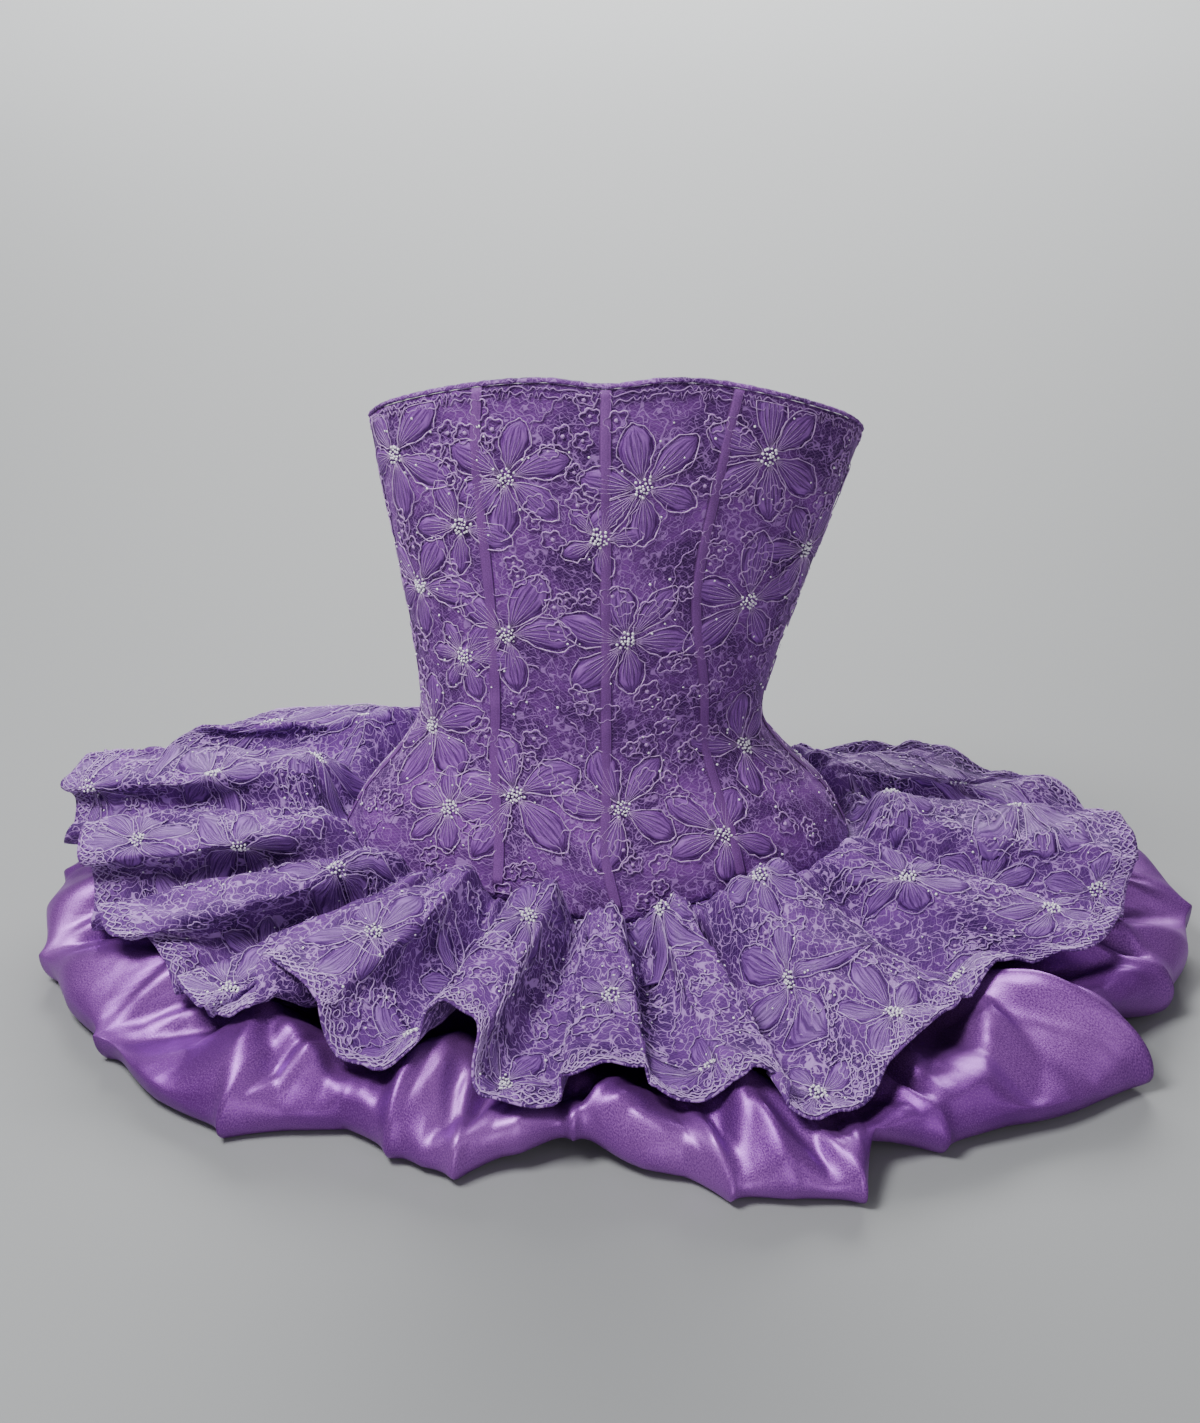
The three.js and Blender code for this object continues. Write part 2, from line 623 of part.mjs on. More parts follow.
// The satin's upper face where out runs from 0 at the seam to 1 at the outline. It falls
// to the hollow, rises to the lobe and rounds off to the belly; the folds lie on it.
function satinTop(bearing, out, x, y) {
  const seam = underEdge(sectionBearing(bearing)).z - SATIN_DROP;
  const level = lerp(seam, satin.hollow(bearing), ease(out / HOLLOW_SHARE));
  const risen = ease((out - LOBE_START_SHARE) / HOLLOW_SHARE);
  const base = satin.belly(bearing) + satin.lift(bearing);
  const crown = Math.max(lerp(level, satin.lobe(bearing), risen), base + LEAST_LOBE);
  const edge = (1 - out ** LOBE_ROUNDNESS) ** (1 / LOBE_ROUNDNESS);
  const faded = ease(out / FOLD_START_SHARE) * Math.sqrt(1 - out ** FOLD_REACH);
  return base + (crown - base) * edge + foldHeight(x, y) * faded;
}

// A point of the satin skirt's outer face. Share runs from the seam over the lobe to
// the outline, round under it and inwards along the table.
function satinPoint(turn, share) {
  const bearing = turn * 360 - 180;
  const reach = satin.reach(bearing);
  const ring = ringReach(bearing);
  const belly = satin.belly(bearing);
  const lift = satin.lift(bearing);
  if (share <= TOP_SHARE) {
    const t = share / TOP_SHARE;
    const out = t * (2 - t);
    const at = planPoint(bearing, lerp(ring, reach, out));
    const off = planPoint(bearing, ring).sub(underEdge(sectionBearing(bearing)));
    const height = satinTop(bearing, out, at.x, at.y);
    return new THREE.Vector3(at.x - off.x * (1 - out), at.y - off.y * (1 - out), height);
  }
  if (share <= UNDER_SHARE) {
    const angle = ((share - TOP_SHARE) / (UNDER_SHARE - TOP_SHARE)) * (Math.PI / 2);
    const at = planPoint(bearing, reach - SATIN_INSET * (1 - Math.cos(angle)));
    return new THREE.Vector3(at.x, at.y, lift + belly * (1 - Math.sin(angle)));
  }
  const s = (share - UNDER_SHARE) / (1 - UNDER_SHARE);
  const tuck = Math.min(SATIN_TUCK, (reach - ring) * TUCK_PART);
  const at = planPoint(bearing, reach - SATIN_INSET - tuck * s);
  return new THREE.Vector3(at.x, at.y, lift);
}

function satinSkirt() {
  const turns = [];
  SATIN_OUTLINE.forEach((row, i) => {
    const next = SATIN_OUTLINE[i + 1]?.bearing ?? SATIN_OUTLINE[0].bearing + 360;
    for (let k = 0; k < SATIN_STEPS_PER_ROW; k += 1) {
      const bearing = lerp(row.bearing, next, k / SATIN_STEPS_PER_ROW);
      turns.push((bearing + 180) / 360);
    }
  });
  const rows = [];
  for (let i = 0; i <= SATIN_TOP_ROWS; i += 1) {
    rows.push(lerp(0, TOP_SHARE, i / SATIN_TOP_ROWS));
  }
  for (let i = 1; i <= SATIN_UNDER_ROWS; i += 1) {
    rows.push(lerp(TOP_SHARE, UNDER_SHARE, i / SATIN_UNDER_ROWS));
  }
  rows.push(1);
  return wallOf(satinPoint, turns, rows, SATIN_WALL, true);
}

// Curves through the lace skirt's stations, by their place in the table
const STATIONS = LACE_STATIONS.map((row, at) => ({ at, ...row }));
const ROUND = STATIONS.length;
const lace = {
  seam: curveThrough(STATIONS, "at", "seam", ROUND, 360),
  bearing: curveThrough(STATIONS, "at", "bearing", ROUND, 360),
  reach: curveThrough(STATIONS, "at", "reach", ROUND),
  rise: curveThrough(STATIONS, "at", "rise", ROUND),
  puff: curveThrough(STATIONS, "at", "puff", ROUND),
  lean: curveThrough(STATIONS, "at", "lean", ROUND),
};

// The height of the satin's upper face under a place of the plan
function satinUnder(x, y) {
  const bearing = radToDeg(Math.atan2(x - POLE.x, POLE.y - y));
  const away = Math.hypot(x - POLE.x, y - POLE.y);
  const ring = ringReach(bearing);
  const out = clamp((away - ring) / (satin.reach(bearing) - ring), 0, LAST_TOP_SHARE);
  return satinTop(bearing, out, x, y);
}

// A point of the lace skirt's upper face: turn runs once round, share from seam to hem.
// Heights are read at a level that stays near the crests, so that crests are broad and
// the dips between them narrow.
function lacePoint(turn, share) {
  const station = turn * ROUND;
  const seam = sectionBearing(lace.seam(station));
  const start = underEdge(seam);
  const end = planPoint(lace.bearing(station), lace.reach(station));
  const out = new THREE.Vector2(end.x - start.x, end.y - start.y);
  const length = out.length();
  const side = new THREE.Vector2(-out.y, out.x).divideScalar(length);
  const flat = SEAM_FLAT / length;
  const past = Math.max(share - FLAT_SHARE, 0) / (1 - FLAT_SHARE);
  const along = Math.min(share / FLAT_SHARE, 1) * flat + past * (1 - flat);
  const swing = Math.sin(2 * Math.PI * station) * ease(past / LEAN_FULL_SHARE);
  const lean = lace.lean(station) * swing;
  const x = start.x + out.x * along + side.x * lean;
  const y = start.y + out.y * along + side.y * lean;
  const level = station - CREST_BREADTH * Math.sin(Math.PI * station);
  const ridge = lerp(lace.puff(level), lace.rise(level), ease(share));
  const seamHeight = start.z - LACE_DROP;
  const gathered = ease(share / GATHER_FULL_SHARE) * (1 - ease(share / GATHER_END_SHARE));
  const pinch = GATHER_DEPTH * Math.sin(2 * Math.PI * station) * gathered;
  const free = lerp(seamHeight, ridge + pinch, ease(share / PUFF_SHARE));
  const clear = satinUnder(x, y) + LACE_CLEARANCE;
  const least = lerp(seamHeight, clear, ease(share / CLEAR_SHARE));
  const over = free - least;
  const height = least + (over + Math.hypot(over, LACE_EASE)) / 2;
  const held = lerp(seamHeight, height, ease(past / GATHER_FULL_SHARE));
  return new THREE.Vector3(x, y, held);
}

function laceSkirt() {
  const count = LACE_STATIONS.length * LACE_STEPS_PER_STATION;
  const turns = Array.from({ length: count }, (_, i) => i / count);
  return wallOf(lacePoint, turns, LACE_ROWS, LACE_WALL, true);
}

// The zip: a closed strip down the centre back, its slider and the pull tab
function zipPlace() {
  const height = topEdge(180) - SLIDER_DROP;
  const share = (height - bottomEdge(180)) / (topEdge(180) - bottomEdge(180));
  const point = bodicePoint(180, share);
  return point.setY(point.y + ZIP_RISE + 3 * SEAM_GAP);
}

function boxSolid(width, depth, height, x, y, z) {
  const geometry = new THREE.BoxGeometry(width, depth, height).translate(x, y, z);
  return manifoldOf(geometry);
}

function manifoldOf(geometry) {
  const bare = geometry.clone();
  bare.deleteAttribute("normal");
  bare.deleteAttribute("uv");
  const merged = mergeVertices(bare);
  const mesh = new wasm.Mesh({
    numProp: 3,
    vertProperties: Float32Array.from(merged.attributes.position.array),
    triVerts: Uint32Array.from(merged.index.array),
  });
  return new wasm.Manifold(mesh);
}

function geometryOf(solid) {
  const mesh = solid.getMesh();
  const geometry = new THREE.BufferGeometry();
  geometry.setAttribute("position", new THREE.BufferAttribute(mesh.vertProperties, 3));
  geometry.setIndex(new THREE.BufferAttribute(mesh.triVerts, 1));
  geometry.computeVertexNormals();
  return geometry;
}

// The slider's frame has its hinge pin along X at the origin, with the cloth towards -Y
function zipSlider() {
  const { width, height, depth } = SLIDER;
  const face = -HINGE_REACH;
  let solid = boxSolid(width, depth, height, 0, face - depth / 2, 0);
  const postX = EYE.width / 2 + 0.85;
  for (const side of [-1, 1]) {
    const post = boxSolid(0.9, HINGE_REACH + 1.2, 1.8, side * postX, face / 2 + 0.2, 0);
    solid = solid.add(post);
  }
  const pin = new THREE.CylinderGeometry(PIN_RADIUS, PIN_RADIUS, 2 * postX, 10);
  return geometryOf(solid.add(manifoldOf(pin.rotateZ(Math.PI / 2))));
}

function zipPull() {
  const eye = new THREE.Shape().absarc(0, 0, EYE.outer, 0, Math.PI * 2, false);
  eye.holes.push(new THREE.Path().absarc(0, 0, EYE.inner, 0, Math.PI * 2, true));
  const ring = new THREE.ExtrudeGeometry(eye, {
    depth: EYE.width,
    bevelEnabled: false,
    curveSegments: 8,
  });
  ring.translate(0, 0, -EYE.width / 2).rotateY(Math.PI / 2);
  const half = PULL.width / 2;
  const neck = EYE.width / 2;
  const tab = new THREE.Shape();
  tab.moveTo(-neck, -EYE.inner - 0.4);
  tab.lineTo(-neck, -EYE.outer - 1.6);
  tab.lineTo(-half, -EYE.outer - 4);
  tab.lineTo(-half, -PULL.length + half);
  tab.absarc(0, -PULL.length + half, half, Math.PI, Math.PI * 2, false);
  tab.lineTo(half, -EYE.outer - 4);
  tab.lineTo(neck, -EYE.outer - 1.6);
  tab.lineTo(neck, -EYE.inner - 0.4);
  const plate = new THREE.ExtrudeGeometry(tab, {
    depth: PULL.thickness,
    bevelEnabled: false,
    curveSegments: 8,
  });
  plate.translate(0, 0, -PULL.thickness / 2).rotateX(Math.PI / 2);
  return geometryOf(manifoldOf(ring).add(manifoldOf(plate)));
}

function finish(colour, roughness, metalness = 0) {
  return new THREE.MeshStandardMaterial({
    color: colour,
    roughness,
    metalness,
    side: THREE.DoubleSide,
  });
}

function piece(name, geometry, material, parent) {
  const mesh = new THREE.Mesh(geometry, material);
  mesh.name = name;
  parent.add(mesh);
  return mesh;
}

const dress = new THREE.Group();
const garment = new THREE.Group();
garment.position.set(STAND.x, STAND.y, 0);
dress.add(garment);

const laceFinish = finish(COLOURS.lace, 0.8);
const satinFinish = finish(COLOURS.satin, 0.32);
const casingFinish = finish(COLOURS.casing, 0.5);
for (const panel of PANELS) {
  piece(`bodice_${panel.name}`, bodicePanel(panel), laceFinish, garment);
}
for (const seam of CASINGS) {
  const casing = stripOver(seam, CASING_WIDTH, CASING_RISE, CASING_FIRST_ROW);
  piece(`bone_casing_${seam}`, casing, casingFinish, garment);
}
piece("neckline_binding", necklineBinding(), finish(COLOURS.binding, 0.7), garment);
piece("lace_overskirt", laceSkirt(), laceFinish, garment);
piece("satin_bubble_skirt", satinSkirt(), satinFinish, garment);

const zip = new THREE.Group();
const hinge = zipPlace();
zip.position.set(hinge.x, hinge.y + SLIDER.depth + HINGE_REACH, hinge.z);
garment.add(zip);
const strip = stripOver("centre_back_right", ZIP_WIDTH, ZIP_RISE, ZIP_FIRST_ROW);
piece("back_zip_strip", strip, finish(COLOURS.zip, 0.6), garment);
piece("zip_slider", zipSlider(), finish(COLOURS.metal, 0.35, 0.8), zip);
piece("zip_pull", zipPull(), finish(COLOURS.metal, 0.35, 0.8), zip);

export default dress;
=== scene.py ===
# %% [markdown]
# # A strapless lace dress with a satin bubble skirt
# The dress stands on a table by itself, so its shape is the shape of its cloth. Every
# surface here is a function of two parameters, worked out with numpy on a grid, in
# millimetres as a dressmaker measures, and written to a mesh in metres at the end.
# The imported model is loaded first: it is the frame that each piece has to fit.

import math

import bpy
import mathutils
import numpy as np
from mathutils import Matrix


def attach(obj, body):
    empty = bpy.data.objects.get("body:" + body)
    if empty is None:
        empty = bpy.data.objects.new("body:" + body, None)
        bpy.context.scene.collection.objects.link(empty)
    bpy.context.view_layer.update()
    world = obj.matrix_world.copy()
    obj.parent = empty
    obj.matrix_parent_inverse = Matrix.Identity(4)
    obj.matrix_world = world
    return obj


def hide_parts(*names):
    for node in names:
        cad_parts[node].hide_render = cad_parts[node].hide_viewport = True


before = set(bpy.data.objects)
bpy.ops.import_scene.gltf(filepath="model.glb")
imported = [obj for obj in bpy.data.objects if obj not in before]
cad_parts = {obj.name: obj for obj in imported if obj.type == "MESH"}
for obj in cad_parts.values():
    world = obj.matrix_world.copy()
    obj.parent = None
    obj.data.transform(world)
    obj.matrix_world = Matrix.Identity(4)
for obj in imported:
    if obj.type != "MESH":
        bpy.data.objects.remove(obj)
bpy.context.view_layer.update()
MM = 0.001
rng = np.random.default_rng(7)
print("nodes in the frame:", len(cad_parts))

# %% [markdown]
# ## The camera
# The photograph was taken from a little above, about 28 degrees over the table, with a
# long lens. The camera stands on that line and looks at the middle of the dress. The
# dress is drawn round an axis through its bodice, while the frame has its origin under
# the middle of the whole box, so STAND is the step from the one to the other.

# %% Camera
STAND = np.array([-9.5, 68.5, 0.0])
LOOK_AT = np.array([-4.0, 0.0, 195.5]) + STAND
CAMERA_HEIGHT = math.radians(28.0)
CAMERA_AWAY = 1750.0
SENSOR_WIDTH, LENS = 36.0, 57.5

camera_data = bpy.data.cameras.new("camera")
camera_data.sensor_width = SENSOR_WIDTH
camera_data.lens = LENS
camera = bpy.data.objects.new("camera", camera_data)
bpy.context.scene.collection.objects.link(camera)
towards_camera = np.array([0.0, -math.cos(CAMERA_HEIGHT), math.sin(CAMERA_HEIGHT)])
camera.location = (LOOK_AT + towards_camera * CAMERA_AWAY) * MM
camera.rotation_euler = (math.radians(90.0) - CAMERA_HEIGHT, 0.0, 0.0)
bpy.context.scene.camera = camera
print("camera at", [round(x, 3) for x in camera.location])

# %% [markdown]
# ## Sums on surfaces
# The finish of a cloth changes from place to place: a thread here, a paler cloud there.
# Blender works such a pattern out with nodes. They could be placed one by one, but a sum
# is easier to read as a sum, so one small class lets each sign add its own node, and
# another makes any node from its type, its settings and what feeds it.

# %% Shader helper


class Wire:
    """A socket that can be added, multiplied and so on: each sign adds a Math node."""

    def __init__(self, shader, socket):
        self.shader = shader
        self.socket = socket

    def _math(self, operation, *values):
        return self.shader.add("ShaderNodeMath", {"operation": operation}, *values)

    def __add__(self, other):
        return self._math("ADD", self, other)

    def __radd__(self, other):
        return self._math("ADD", other, self)

    def __sub__(self, other):
        return self._math("SUBTRACT", self, other)

    def __rsub__(self, other):
        return self._math("SUBTRACT", other, self)

    def __mul__(self, other):
        return self._math("MULTIPLY", self, other)

    def __rmul__(self, other):
        return self._math("MULTIPLY", other, self)

    def __abs__(self):
        return self._math("ABSOLUTE", self)

    def sine(self):
        return self._math("SINE", self)

    def larger(self, other):
        return self._math("MAXIMUM", self, other)

    def clamped(self):
        return self.shader.add("ShaderNodeClamp", {}, self, 0.0, 1.0)


class Shader:
    """A material's node tree. add() makes any node: its type, its settings, and the
    values or wires of its input sockets, by place or by name."""

    def __init__(self, name):
        self.material = bpy.data.materials.new(name)
        self.material.use_nodes = True
        self.tree = self.material.node_tree
        self.tree.nodes.clear()

    def add(self, kind, settings, *values, out=0, **named):
        node = self.tree.nodes.new(kind)
        for key, value in settings.items():
            setattr(node, key, value)
        sockets = list(zip(node.inputs, values))
        sockets += [(node.inputs[key.replace("_", " ")], value) for key, value in named.items()]
        for socket, value in sockets:
            self.feed(socket, value)
        return Wire(self, node.outputs[out] if len(node.outputs) else None)

    def feed(self, socket, value):
        """Links a wire to the socket, or sets a plain value on it."""
        if isinstance(value, Wire):
            self.tree.links.new(value.socket, socket)
        else:
            socket.default_value = value

    def mix(self, factor, first, second):
        """The first colour where the factor is 0, and the second where it is 1."""
        node = self.tree.nodes.new("ShaderNodeMix")
        node.data_type = "RGBA"
        for place, value in ((0, factor), (6, first), (7, second)):
            self.feed(node.inputs[place], value)
        return Wire(self, node.outputs[2])

    def uv(self):
        return self.add("ShaderNodeUVMap", {"uv_map": "cloth"})

    def object_place(self):
        return self.add("ShaderNodeTexCoord", {}, out=3)

    def noise(self, vector, scale, detail, flat=True):
        """Noise with so many waves along each axis of the vector, flat or solid."""
        stretched = self.add("ShaderNodeMapping", {"vector_type": "POINT"}, vector, Scale=scale)
        settings = {"noise_dimensions": "2D" if flat else "3D"}
        return self.add("ShaderNodeTexNoise", settings, stretched, Scale=1.0, Detail=detail)

    def finish(self, **inputs):
        surface = self.add("ShaderNodeBsdfPrincipled", {}, **inputs)
        self.add("ShaderNodeOutputMaterial", {}, surface)
        print("made the material", self.material.name)
        return self.material


def colour(red, green, blue):
    """Light's red, green and blue, from 0 to 1, as an opaque colour."""
    return (red, green, blue, 1.0)


# %% [markdown]
# ## Curves through short tables
# The bodice, the rolls of lace and the outline of the satin are each a short table of
# places that a dressmaker would pin. Between the pins the cloth runs smoothly, so the
# tables are joined by cubic curves. Where satin makes a sharp corner, part of a
# straight-line curve is mixed in, which keeps the corner.

# %% Curves


def smooth_through(keys, values, period=None, turn=0.0):
    """A cubic through the table. Its slope at each key is that of the chord between
    the key's neighbours. With a period it repeats, and each lap adds turn."""
    x, y = np.array(keys, float), np.array(values, float)
    if period:
        x = np.concatenate([x[-2:] - period, x, x[:3] + period])
        y = np.concatenate([y[-2:] - turn, y, y[:3] + turn])
    slope = np.empty_like(x)
    slope[1:-1] = (y[2:] - y[:-2]) / (x[2:] - x[:-2])
    slope[0] = (y[1] - y[0]) / (x[1] - x[0])
    slope[-1] = (y[-1] - y[-2]) / (x[-1] - x[-2])
    first = keys[0]

    def at(q):
        q = np.asarray(q, float)
        laps = np.floor((q - first) / period) if period else 0.0
        q = q - laps * period if period else np.clip(q, x[0], x[-1])
        i = np.clip(np.searchsorted(x, q, side="right") - 1, 0, len(x) - 2)
        span = x[i + 1] - x[i]
        s = (q - x[i]) / span
        bend = s * s * (3 - 2 * s)
        lift = s * (1 - s) * ((1 - s) * slope[i] * span - s * slope[i + 1] * span)
        return y[i] * (1 - bend) + y[i + 1] * bend + lift + laps * turn

    return at


def lines_through(keys, values, period):
    """Straight lines from each row of the table to the next, repeated each period."""
    return lambda q: np.interp(q, keys, values, period=period)


def columns(table, names):
    """A table of rows as a dict of columns."""
    return {name: [row[i] for row in table] for i, name in enumerate(names)}


def ease(x):
    """From 0 to 1 along 3x^2 - 2x^3, and flat outside."""
    x = np.clip(x, 0.0, 1.0)
    return x * x * (3 - 2 * x)


def lerp(a, b, s):
    """The share s of the way from a to b."""
    return a + (b - a) * s


def stack(x, y, z):
    """Three arrays of coordinates as one array of points."""
    return np.stack(np.broadcast_arrays(x, y, z), -1)


def unit(v):
    """v / |v|, and 0 for a vector of no length."""
    return v / np.maximum(np.linalg.norm(v, axis=-1, keepdims=True), 1e-12)


# %% [markdown]
# ## Cloth as a wall
# Real cloth is thin but not a film. Each piece is a closed wall: the outer face is the
# worked-out surface, and the inner face lies a cloth's thickness behind it, along the
# normals. The same grid can be asked for the place and the normal at any point, which
# is how lace, beads and piping are laid on it later.

# %% Cloth
PROBE = 0.002


class Cloth:
    """A grid of places P[i, j] with normals, for u and v from 0 to 1. A ring joins its
    last column to its first. outward is 1, or -1 where u and v turn the other way."""

    def __init__(self, place, us, vs, ring=False, outward=1.0):
        self.us, self.vs, self.ring = np.asarray(us, float), np.asarray(vs, float), ring
        u, v = np.meshgrid(self.us, self.vs, indexing="ij")
        self.P = place(u, v)
        if ring:
            wide = np.concatenate([self.P[-1:], self.P, self.P[:1]])
            along = wide[2:] - wide[:-2]
        else:
            along = np.gradient(self.P, axis=0)
        up = np.gradient(self.P, axis=1)
        self.N = unit(np.cross(along, up)) * outward
        step = np.linalg.norm(np.diff(self.P, axis=1), axis=-1).mean(0)
        self.height = np.concatenate([[0.0], np.cumsum(step)])
        closed = np.concatenate([self.P, self.P[:1]]) if ring else self.P
        self.width = np.linalg.norm(np.diff(closed, axis=0), axis=-1)
        self.u_edges = np.append(self.us, self.us[0] + 1.0) if ring else self.us

    def at(self, u, v):
        """Places and normals at u and v, bilinear between the grid's points."""
        if self.ring:
            u = (u - self.us[0]) % 1.0 + self.us[0]
        u = np.clip(u, self.u_edges[0], self.u_edges[-1])
        i = np.clip(np.searchsorted(self.u_edges, u, side="right") - 1, 0, len(self.u_edges) - 2)
        j = np.clip(np.searchsorted(self.vs, v, side="right") - 1, 0, len(self.vs) - 2)
        a = (u - self.u_edges[i]) / (self.u_edges[i + 1] - self.u_edges[i])
        b = np.clip((v - self.vs[j]) / (self.vs[j + 1] - self.vs[j]), 0.0, 1.0)
        a, b = a[..., None], b[..., None]
        k = (i + 1) % len(self.us)

        def mixed(grid):
            low = lerp(grid[i, j], grid[k, j], a)
            high = lerp(grid[i, j + 1], grid[k, j + 1], a)
            return lerp(low, high, b)

        return mixed(self.P), unit(mixed(self.N))

    def width_rate(self, u, v):
        """How many millimetres one unit of u is at (u, v)."""
        place, _ = self.at(u, v)
        beside, _ = self.at(u + PROBE, v)
        return np.linalg.norm(beside - place, axis=-1) / PROBE


# %% [markdown]
# ## From a grid to a mesh
# A mesh could be built point by point, which is slow and long to read. Here whole arrays
# of places and faces are handed over at once. Each piece also gets the body that it rides
# on, and where it is cloth a UV map in real metres, for its weave.

# %% Pieces and walls


def new_piece(name, points, faces, uv=None, material=None, slot=None, body="dress"):
    """Writes points in millimetres and faces, given as arrays of one size each, to a
    mesh in metres. uv holds one pair for each corner of the faces, in their order."""
    mesh = bpy.data.meshes.new(name)
    points = (np.asarray(points).reshape(-1, 3) + STAND) * MM
    corners = np.concatenate([f.ravel() for f in faces]).astype(np.int32)
    sizes = np.concatenate([np.full(len(f), f.shape[1]) for f in faces])
    mesh.vertices.add(len(points))
    mesh.vertices.foreach_set("co", points.astype(np.float32).ravel())
    mesh.loops.add(len(corners))
    mesh.loops.foreach_set("vertex_index", corners)
    mesh.polygons.add(len(sizes))
    starts = np.concatenate([[0], np.cumsum(sizes)[:-1]]).astype(np.int32)
    mesh.polygons.foreach_set("loop_start", starts)
    mesh.polygons.foreach_set("use_smooth", np.ones(len(sizes), bool))
    if uv is not None:
        layer = mesh.uv_layers.new(name="cloth")
        layer.data.foreach_set("uv", np.asarray(uv, np.float32).ravel())
    mesh.update(calc_edges=True)
    piece = bpy.data.objects.new(name, mesh)
    bpy.context.scene.collection.objects.link(piece)
    if material:
        mesh.materials.append(material)
    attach(piece, body)
    print(f"{name}: {len(points)} points, {int((sizes - 2).sum())} triangles")
    return piece


def wall_faces(nu, nv, ring, outward):
    """The quads of a wall's two faces and its edges, and for each corner the column
    and row that it has in a grid which isn't joined, for the UV map."""
    stretches = nu if ring else nu - 1
    i, j = np.meshgrid(np.arange(stretches), np.arange(nv - 1), indexing="ij")
    i, j = i.ravel(), j.ravel()
    k = np.arange(stretches)
    low, high = np.zeros_like(k), np.full_like(k, nv - 1)

    def quads(side, *corners):
        side = np.broadcast_to(np.array(side), (len(corners[0][0]), 4))
        column = np.stack([c[0] for c in corners], -1)
        row = np.stack([c[1] for c in corners], -1)
        return side, column, row

    parts = [
        quads([0, 0, 0, 0], (i, j), (i + 1, j), (i + 1, j + 1), (i, j + 1)),
        quads([1, 1, 1, 1], (i, j), (i, j + 1), (i + 1, j + 1), (i + 1, j)),
        quads([0, 1, 1, 0], (k, low), (k, low), (k + 1, low), (k + 1, low)),
        quads([0, 0, 1, 1], (k, high), (k + 1, high), (k + 1, high), (k, high)),
    ]
    if not ring:
        m = np.arange(nv - 1)
        start, end = np.zeros_like(m), np.full_like(m, nu - 1)
        parts.append(quads([0, 0, 1, 1], (start, m), (start, m + 1), (start, m + 1), (start, m)))
        parts.append(quads([0, 1, 1, 0], (end, m), (end, m), (end, m + 1), (end, m + 1)))
    side, column, row = (np.concatenate([p[n] for p in parts]) for n in range(3))
    faces = side * (nu * nv) + (column % nu) * nv + row
    if outward < 0:
        faces, column, row = faces[:, ::-1], column[:, ::-1], row[:, ::-1]
    return faces, column, row


def wall_piece(name, cloth, thickness, outward=1.0, **finish):
    """A closed wall: the cloth's grid, and the same grid moved thickness inwards. Its
    UV map is in metres along the middle row and up the cloth."""
    nu, nv = cloth.P.shape[:2]
    faces, column, row = wall_faces(nu, nv, cloth.ring, outward)
    points = np.concatenate([cloth.P.reshape(-1, 3), (cloth.P - cloth.N * thickness).reshape(-1, 3)])
    across = np.concatenate([[0.0], np.cumsum(cloth.width.mean(1))])
    uv = np.stack([across[column], cloth.height[row]], -1) * MM
    return new_piece(name, points, [faces], uv=uv.reshape(-1, 2), **finish)


# %% [markdown]
# ## The bodice
# A boned bodice keeps its shape with nobody in it. Its sections are ellipses, wide at
# the bust, narrow at the waist and wide again at the hips, and the whole leans a
# little. A point is found from its bearing, 0 at the front and 90 at the viewer's
# right, and from its share of the way up between the bottom edge and the top edge.

# %% The bodice's surface
SECTION_NAMES = ("height", "half", "front", "back", "shift", "lean", "centre", "left", "right")
BODICE_SECTIONS = [
    (60, 215, 112, 112, -7, -6, 6, -20, 33),
    (95, 198, 105, 104, -7, -4, 4, -22, 34),
    (130, 179, 94, 94, -7, -2, 2, -24, 35),
    (165, 148, 83, 84, -10, -1, 4, -29, 39),
    (195, 131, 77, 77, -11, 0, 5, -33, 41),
    (245, 136, 78, 78, -7, 2, 3, -33, 36),
    (320, 153, 82, 82, 0, 6, 0, -33, 25),
    (430, 179, 86, 84, 9, 11, -3, -34, 24),
    (490, 186, 84, 84, 13, 14, -4, -33, 26),
]
NECKLINE = [
    (-180, 398), (-140, 402), (-90, 430), (-62, 456), (-36, 477), (-18, 485),
    (-4, 482), (10, 486), (25, 480), (58, 450), (90, 419), (140, 400),
]
BASQUE_EDGE, BASQUE_POINT, BASQUE_SPREAD = 92.0, 16.0, 15.0
SIDE_SEAM, SIDE_BACK_SEAM = 92.0, 138.0
BODICE_WALL = 2.4
SEAM_GAP = 0.3
BODICE_COLUMNS, BODICE_ROWS = 720, 120

bodice_table = columns(BODICE_SECTIONS, SECTION_NAMES)
section = {
    name: smooth_through(bodice_table["height"], bodice_table[name]) for name in SECTION_NAMES[1:]
}
top_edge = smooth_through(*zip(*NECKLINE), period=360.0)


def bottom_edge(bearing):
    """A level edge with a rounded point at the front: 92 - 16 exp(-((b - c) / 15)^2)."""
    off = (bearing - section["centre"](BASQUE_EDGE)) / BASQUE_SPREAD
    return BASQUE_EDGE - BASQUE_POINT * np.exp(-(off**2))


def turned(bearing):
    """The same bearing between -180 and 180."""
    return (np.asarray(bearing, float) + 180.0) % 360.0 - 180.0


def bodice_place(bearing, share):
    """x = shift + half sin b, y = lean - depth cos b, z between the two edges."""
    bearing = turned(bearing)
    z = lerp(bottom_edge(bearing), top_edge(bearing), share)
    angle = np.radians(bearing)
    depth = np.where(np.cos(angle) > 0, section["front"](z), section["back"](z))
    x = section["shift"](z) + section["half"](z) * np.sin(angle)
    return stack(x, section["lean"](z) - depth * np.cos(angle), z)


bodice = Cloth(lambda u, v: bodice_place(u * 360 - 180, v),
               np.linspace(0, 1, BODICE_COLUMNS + 1)[:-1], np.linspace(0, 1, BODICE_ROWS + 1), ring=True)
low, high = bodice.P.min((0, 1)), bodice.P.max((0, 1))
print("bodice from", low.round(), "to", high.round(), "mm")

# %% Seams


